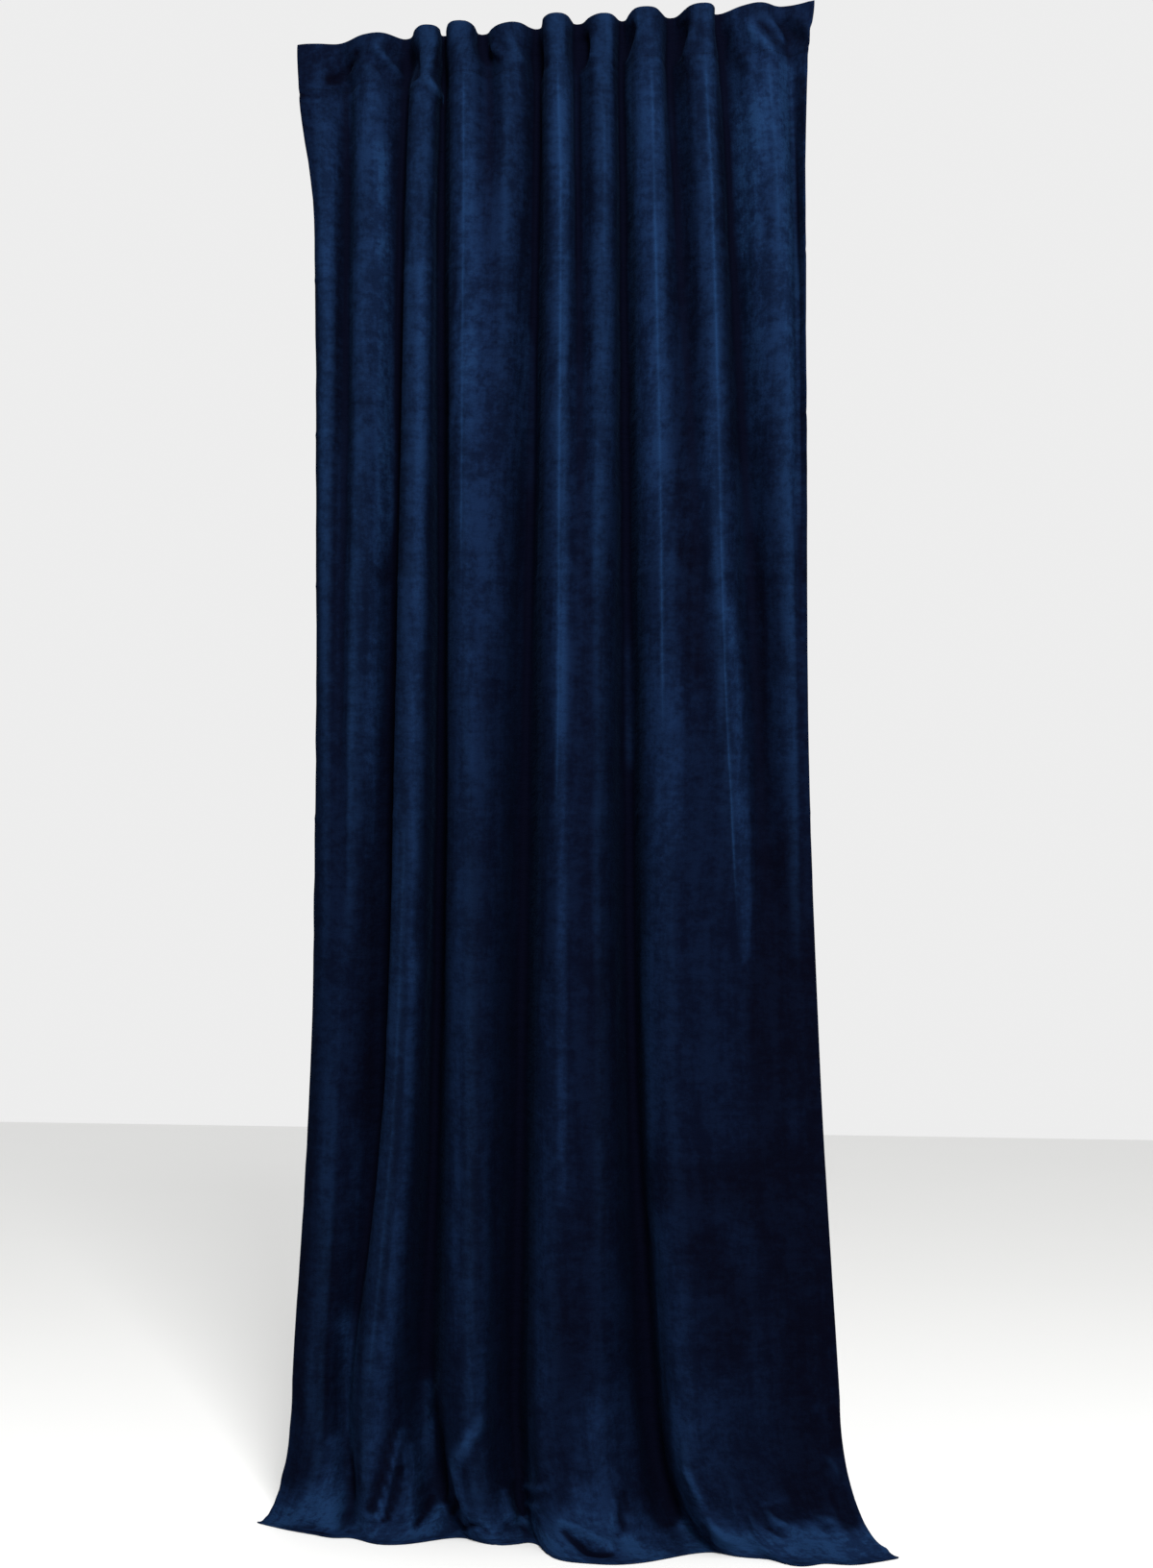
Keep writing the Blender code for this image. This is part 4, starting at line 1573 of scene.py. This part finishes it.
@dataclass(frozen=True)
class Reverse:
    """The plain woven ground behind the nap, and a margin of the turned nap where it meets the hems."""

    cloth: Cloth
    warp: Colour = (0.0066, 0.0135, 0.0400, 1.0)
    weft: Colour = (0.0130, 0.0250, 0.0660, 1.0)
    turned: Colour = (0.0020, 0.0045, 0.0140, 1.0)
    thread: float = 0.0009
    weave_share: float = 0.5
    slubs: Grain = Grain(1.0, 3.0, 0.6, (30.0, 420.0, 1.0), share=0.3)
    clouds: Grain = Grain(7.0, 4.0, 0.6, share=0.3)
    darker: float = 0.05
    slub_height: float = 0.5
    bump: float = 0.4
    bump_height: float = 0.0003
    margin: Fade = Fade(-0.0004, 0.0004)
    roughness: float = 0.85
    specular: float = 0.08

    def material(self) -> bpy.types.Material:
        """Builds the node material.

        Returns:
            The material of the back.
        """
        graph = Graph("velvet reverse")
        place = graph.attribute("cloth_place", "Vector")
        turns = 2 * math.pi / self.thread
        threads = graph.stretched(place, (turns, turns, 0.0))
        across, down = graph.part(threads, 0), graph.part(threads, 1)
        waves = across.maths("SINE", across) * down.maths("SINE", down)
        weave = waves * 0.5 + 0.5
        slubs = graph.noise(place, self.slubs)
        share = weave * self.weave_share + slubs * self.slubs.share
        share += graph.noise(place, self.clouds) * self.clouds.share
        ground = graph.mixed(self.warp, self.weft, (share - self.darker).clamped())
        relief = weave + slubs * self.slub_height

        inputs = graph.shader.inputs
        graph.join(inputs["Base Color"], graph.mixed(self.turned, ground, self.single(graph, place)))
        graph.join(inputs["Normal"], graph.bumped(relief, self.bump, self.bump_height))
        inputs["Roughness"].default_value = self.roughness
        inputs["Specular IOR Level"].default_value = self.specular
        return graph.material

    def single(self, graph: Graph, place: Wire) -> Wire:
        """Where the cloth is single.

        Args:
            graph: The material's nodes.
            place: Each point's place on the flat cloth.

        Returns:
            A value that is 1 on the single cloth and 0 on the hems.
        """
        across, down = graph.part(place, 0), graph.part(place, 1)
        to_side = across.maths("MINIMUM", across, self.cloth.width - across) - self.cloth.side_hem
        to_top = down - self.cloth.heading
        to_bottom = self.cloth.length - self.cloth.bottom_hem - down
        inside = to_side.maths("MINIMUM", to_side, to_top.maths("MINIMUM", to_top, to_bottom))
        return graph.faded(inside, self.margin)


@dataclass(frozen=True)
class Plain:
    """A matt surface of one colour with a faint mottle, for the floor and the thread."""

    name: str
    colour: Colour
    mottle: float
    clouds: Grain
    roughness: float
    specular: float = 0.5

    def material(self) -> bpy.types.Material:
        """Builds the node material.

        Returns:
            The material.
        """
        graph = Graph(self.name)
        place = graph.node("ShaderNodeTexCoord", {}, {}, "Object")
        cloudy = graph.noise(place, self.clouds)
        darker = tuple(value * (1 - self.mottle) for value in self.colour[:3]) + (1.0,)
        graph.join(graph.shader.inputs["Base Color"], graph.mixed(self.colour, darker, cloudy))
        graph.shader.inputs["Roughness"].default_value = self.roughness
        graph.shader.inputs["Specular IOR Level"].default_value = self.specular
        return graph.material


FLOOR = Plain("pale floor", (0.80, 0.80, 0.79, 1.0), 0.02, Grain(0.8, 4.0), 0.7)
THREAD = Plain("navy thread", (0.0012, 0.0032, 0.0100, 1.0), 0.3, Grain(90.0, 4.0), 0.85, 0.05)


@dataclass(frozen=True)
class Studio:
    """The pale floor, the soft light and the camera at the photograph's angle."""

    floor_height: float = -2.4405
    floor_half: float = 9.0
    azimuth: float = math.radians(12.6)
    distance: float = 4.0
    eye_height: float = -1.50
    sideways: float = 0.0232
    sensor: float = 36.0
    lens: float = 57.1
    image_height: int = 1632
    horizon_row: float = 993.0
    sky: float = 0.85
    key_watts: float = 300.0
    key_place: tuple[float, float, float] = (1.3, -3.6, 1.2)
    key_size: float = 0.7
    key_aim: tuple[float, float, float] = (0.0, 0.0, -1.0)

    def floor(self) -> bpy.types.Object:
        """Makes the floor, which isn't part of the curtain.

        Returns:
            The floor.
        """
        half = self.floor_half
        mesh = bpy.data.meshes.new("studio_floor")
        corners = ((-half, -half), (half, -half), (half, half), (-half, half))
        mesh.from_pydata([(x, y, self.floor_height) for x, y in corners], [], [(0, 1, 2, 3)])
        mesh.materials.append(FLOOR.material())
        floor = bpy.data.objects.new("studio_floor", mesh)
        bpy.context.scene.collection.objects.link(floor)
        return floor

    def light(self) -> None:
        """Lights the scene with a pale sky and one soft lamp from the front right."""
        world = bpy.data.worlds.new("studio")
        world.use_nodes = True
        background = world.node_tree.nodes["Background"]
        background.inputs["Color"].default_value = (1.0, 1.0, 1.0, 1.0)
        background.inputs["Strength"].default_value = self.sky
        bpy.context.scene.world = world
        lamp = bpy.data.lights.new("key", "AREA")
        lamp.energy = self.key_watts
        lamp.size = self.key_size
        holder = bpy.data.objects.new("key", lamp)
        holder.location = self.key_place
        towards = Vector(self.key_aim) - holder.location
        holder.rotation_euler = towards.to_track_quat("-Z", "Y").to_euler()
        bpy.context.scene.collection.objects.link(holder)

    def camera(self) -> bpy.types.Object:
        """Sets a level camera to the curtain's right, with the horizon where the photograph has it.

        Returns:
            The camera.
        """
        right = Vector((math.cos(self.azimuth), math.sin(self.azimuth), 0.0))
        ahead = Vector((-math.sin(self.azimuth), math.cos(self.azimuth), 0.0))
        data = bpy.data.cameras.new("camera")
        data.sensor_width = self.sensor
        data.lens = self.lens
        data.shift_y = (self.horizon_row - self.image_height / 2) / self.image_height
        camera = bpy.data.objects.new("camera", data)
        camera.location = right * self.sideways - ahead * self.distance
        camera.location.z = self.eye_height
        camera.rotation_euler = ahead.to_track_quat("-Z", "Y").to_euler()
        bpy.context.scene.collection.objects.link(camera)
        bpy.context.scene.camera = camera
        return camera


def main() -> None:
    """Builds and dresses the panel, then the studio, and reports each piece."""
    logging.basicConfig(level=logging.INFO, format="%(name)s: %(message)s")
    bpy.context.scene.view_settings.view_transform = "Standard"
    studio = Studio()
    studio.camera()
    studio.light()
    studio.floor()

    cloth = Cloth()
    panel = Panel(cloth, Folds(cloth))
    sheet = panel.build()
    for finish in (Velvet(), Reverse(cloth)):
        sheet.data.materials.append(finish.material())
    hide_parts("curtain_panel")

    stitching = Stitching(panel)
    heading = stitching.heading()
    hems = stitching.hems()
    for thread in (heading, hems):
        thread.data.materials.append(THREAD.material())
    for piece in (sheet, heading, hems):
        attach(piece, "root")
        log.info("%s: %d faces", piece.name, len(piece.data.polygons))


if __name__ == "__main__":
    main()
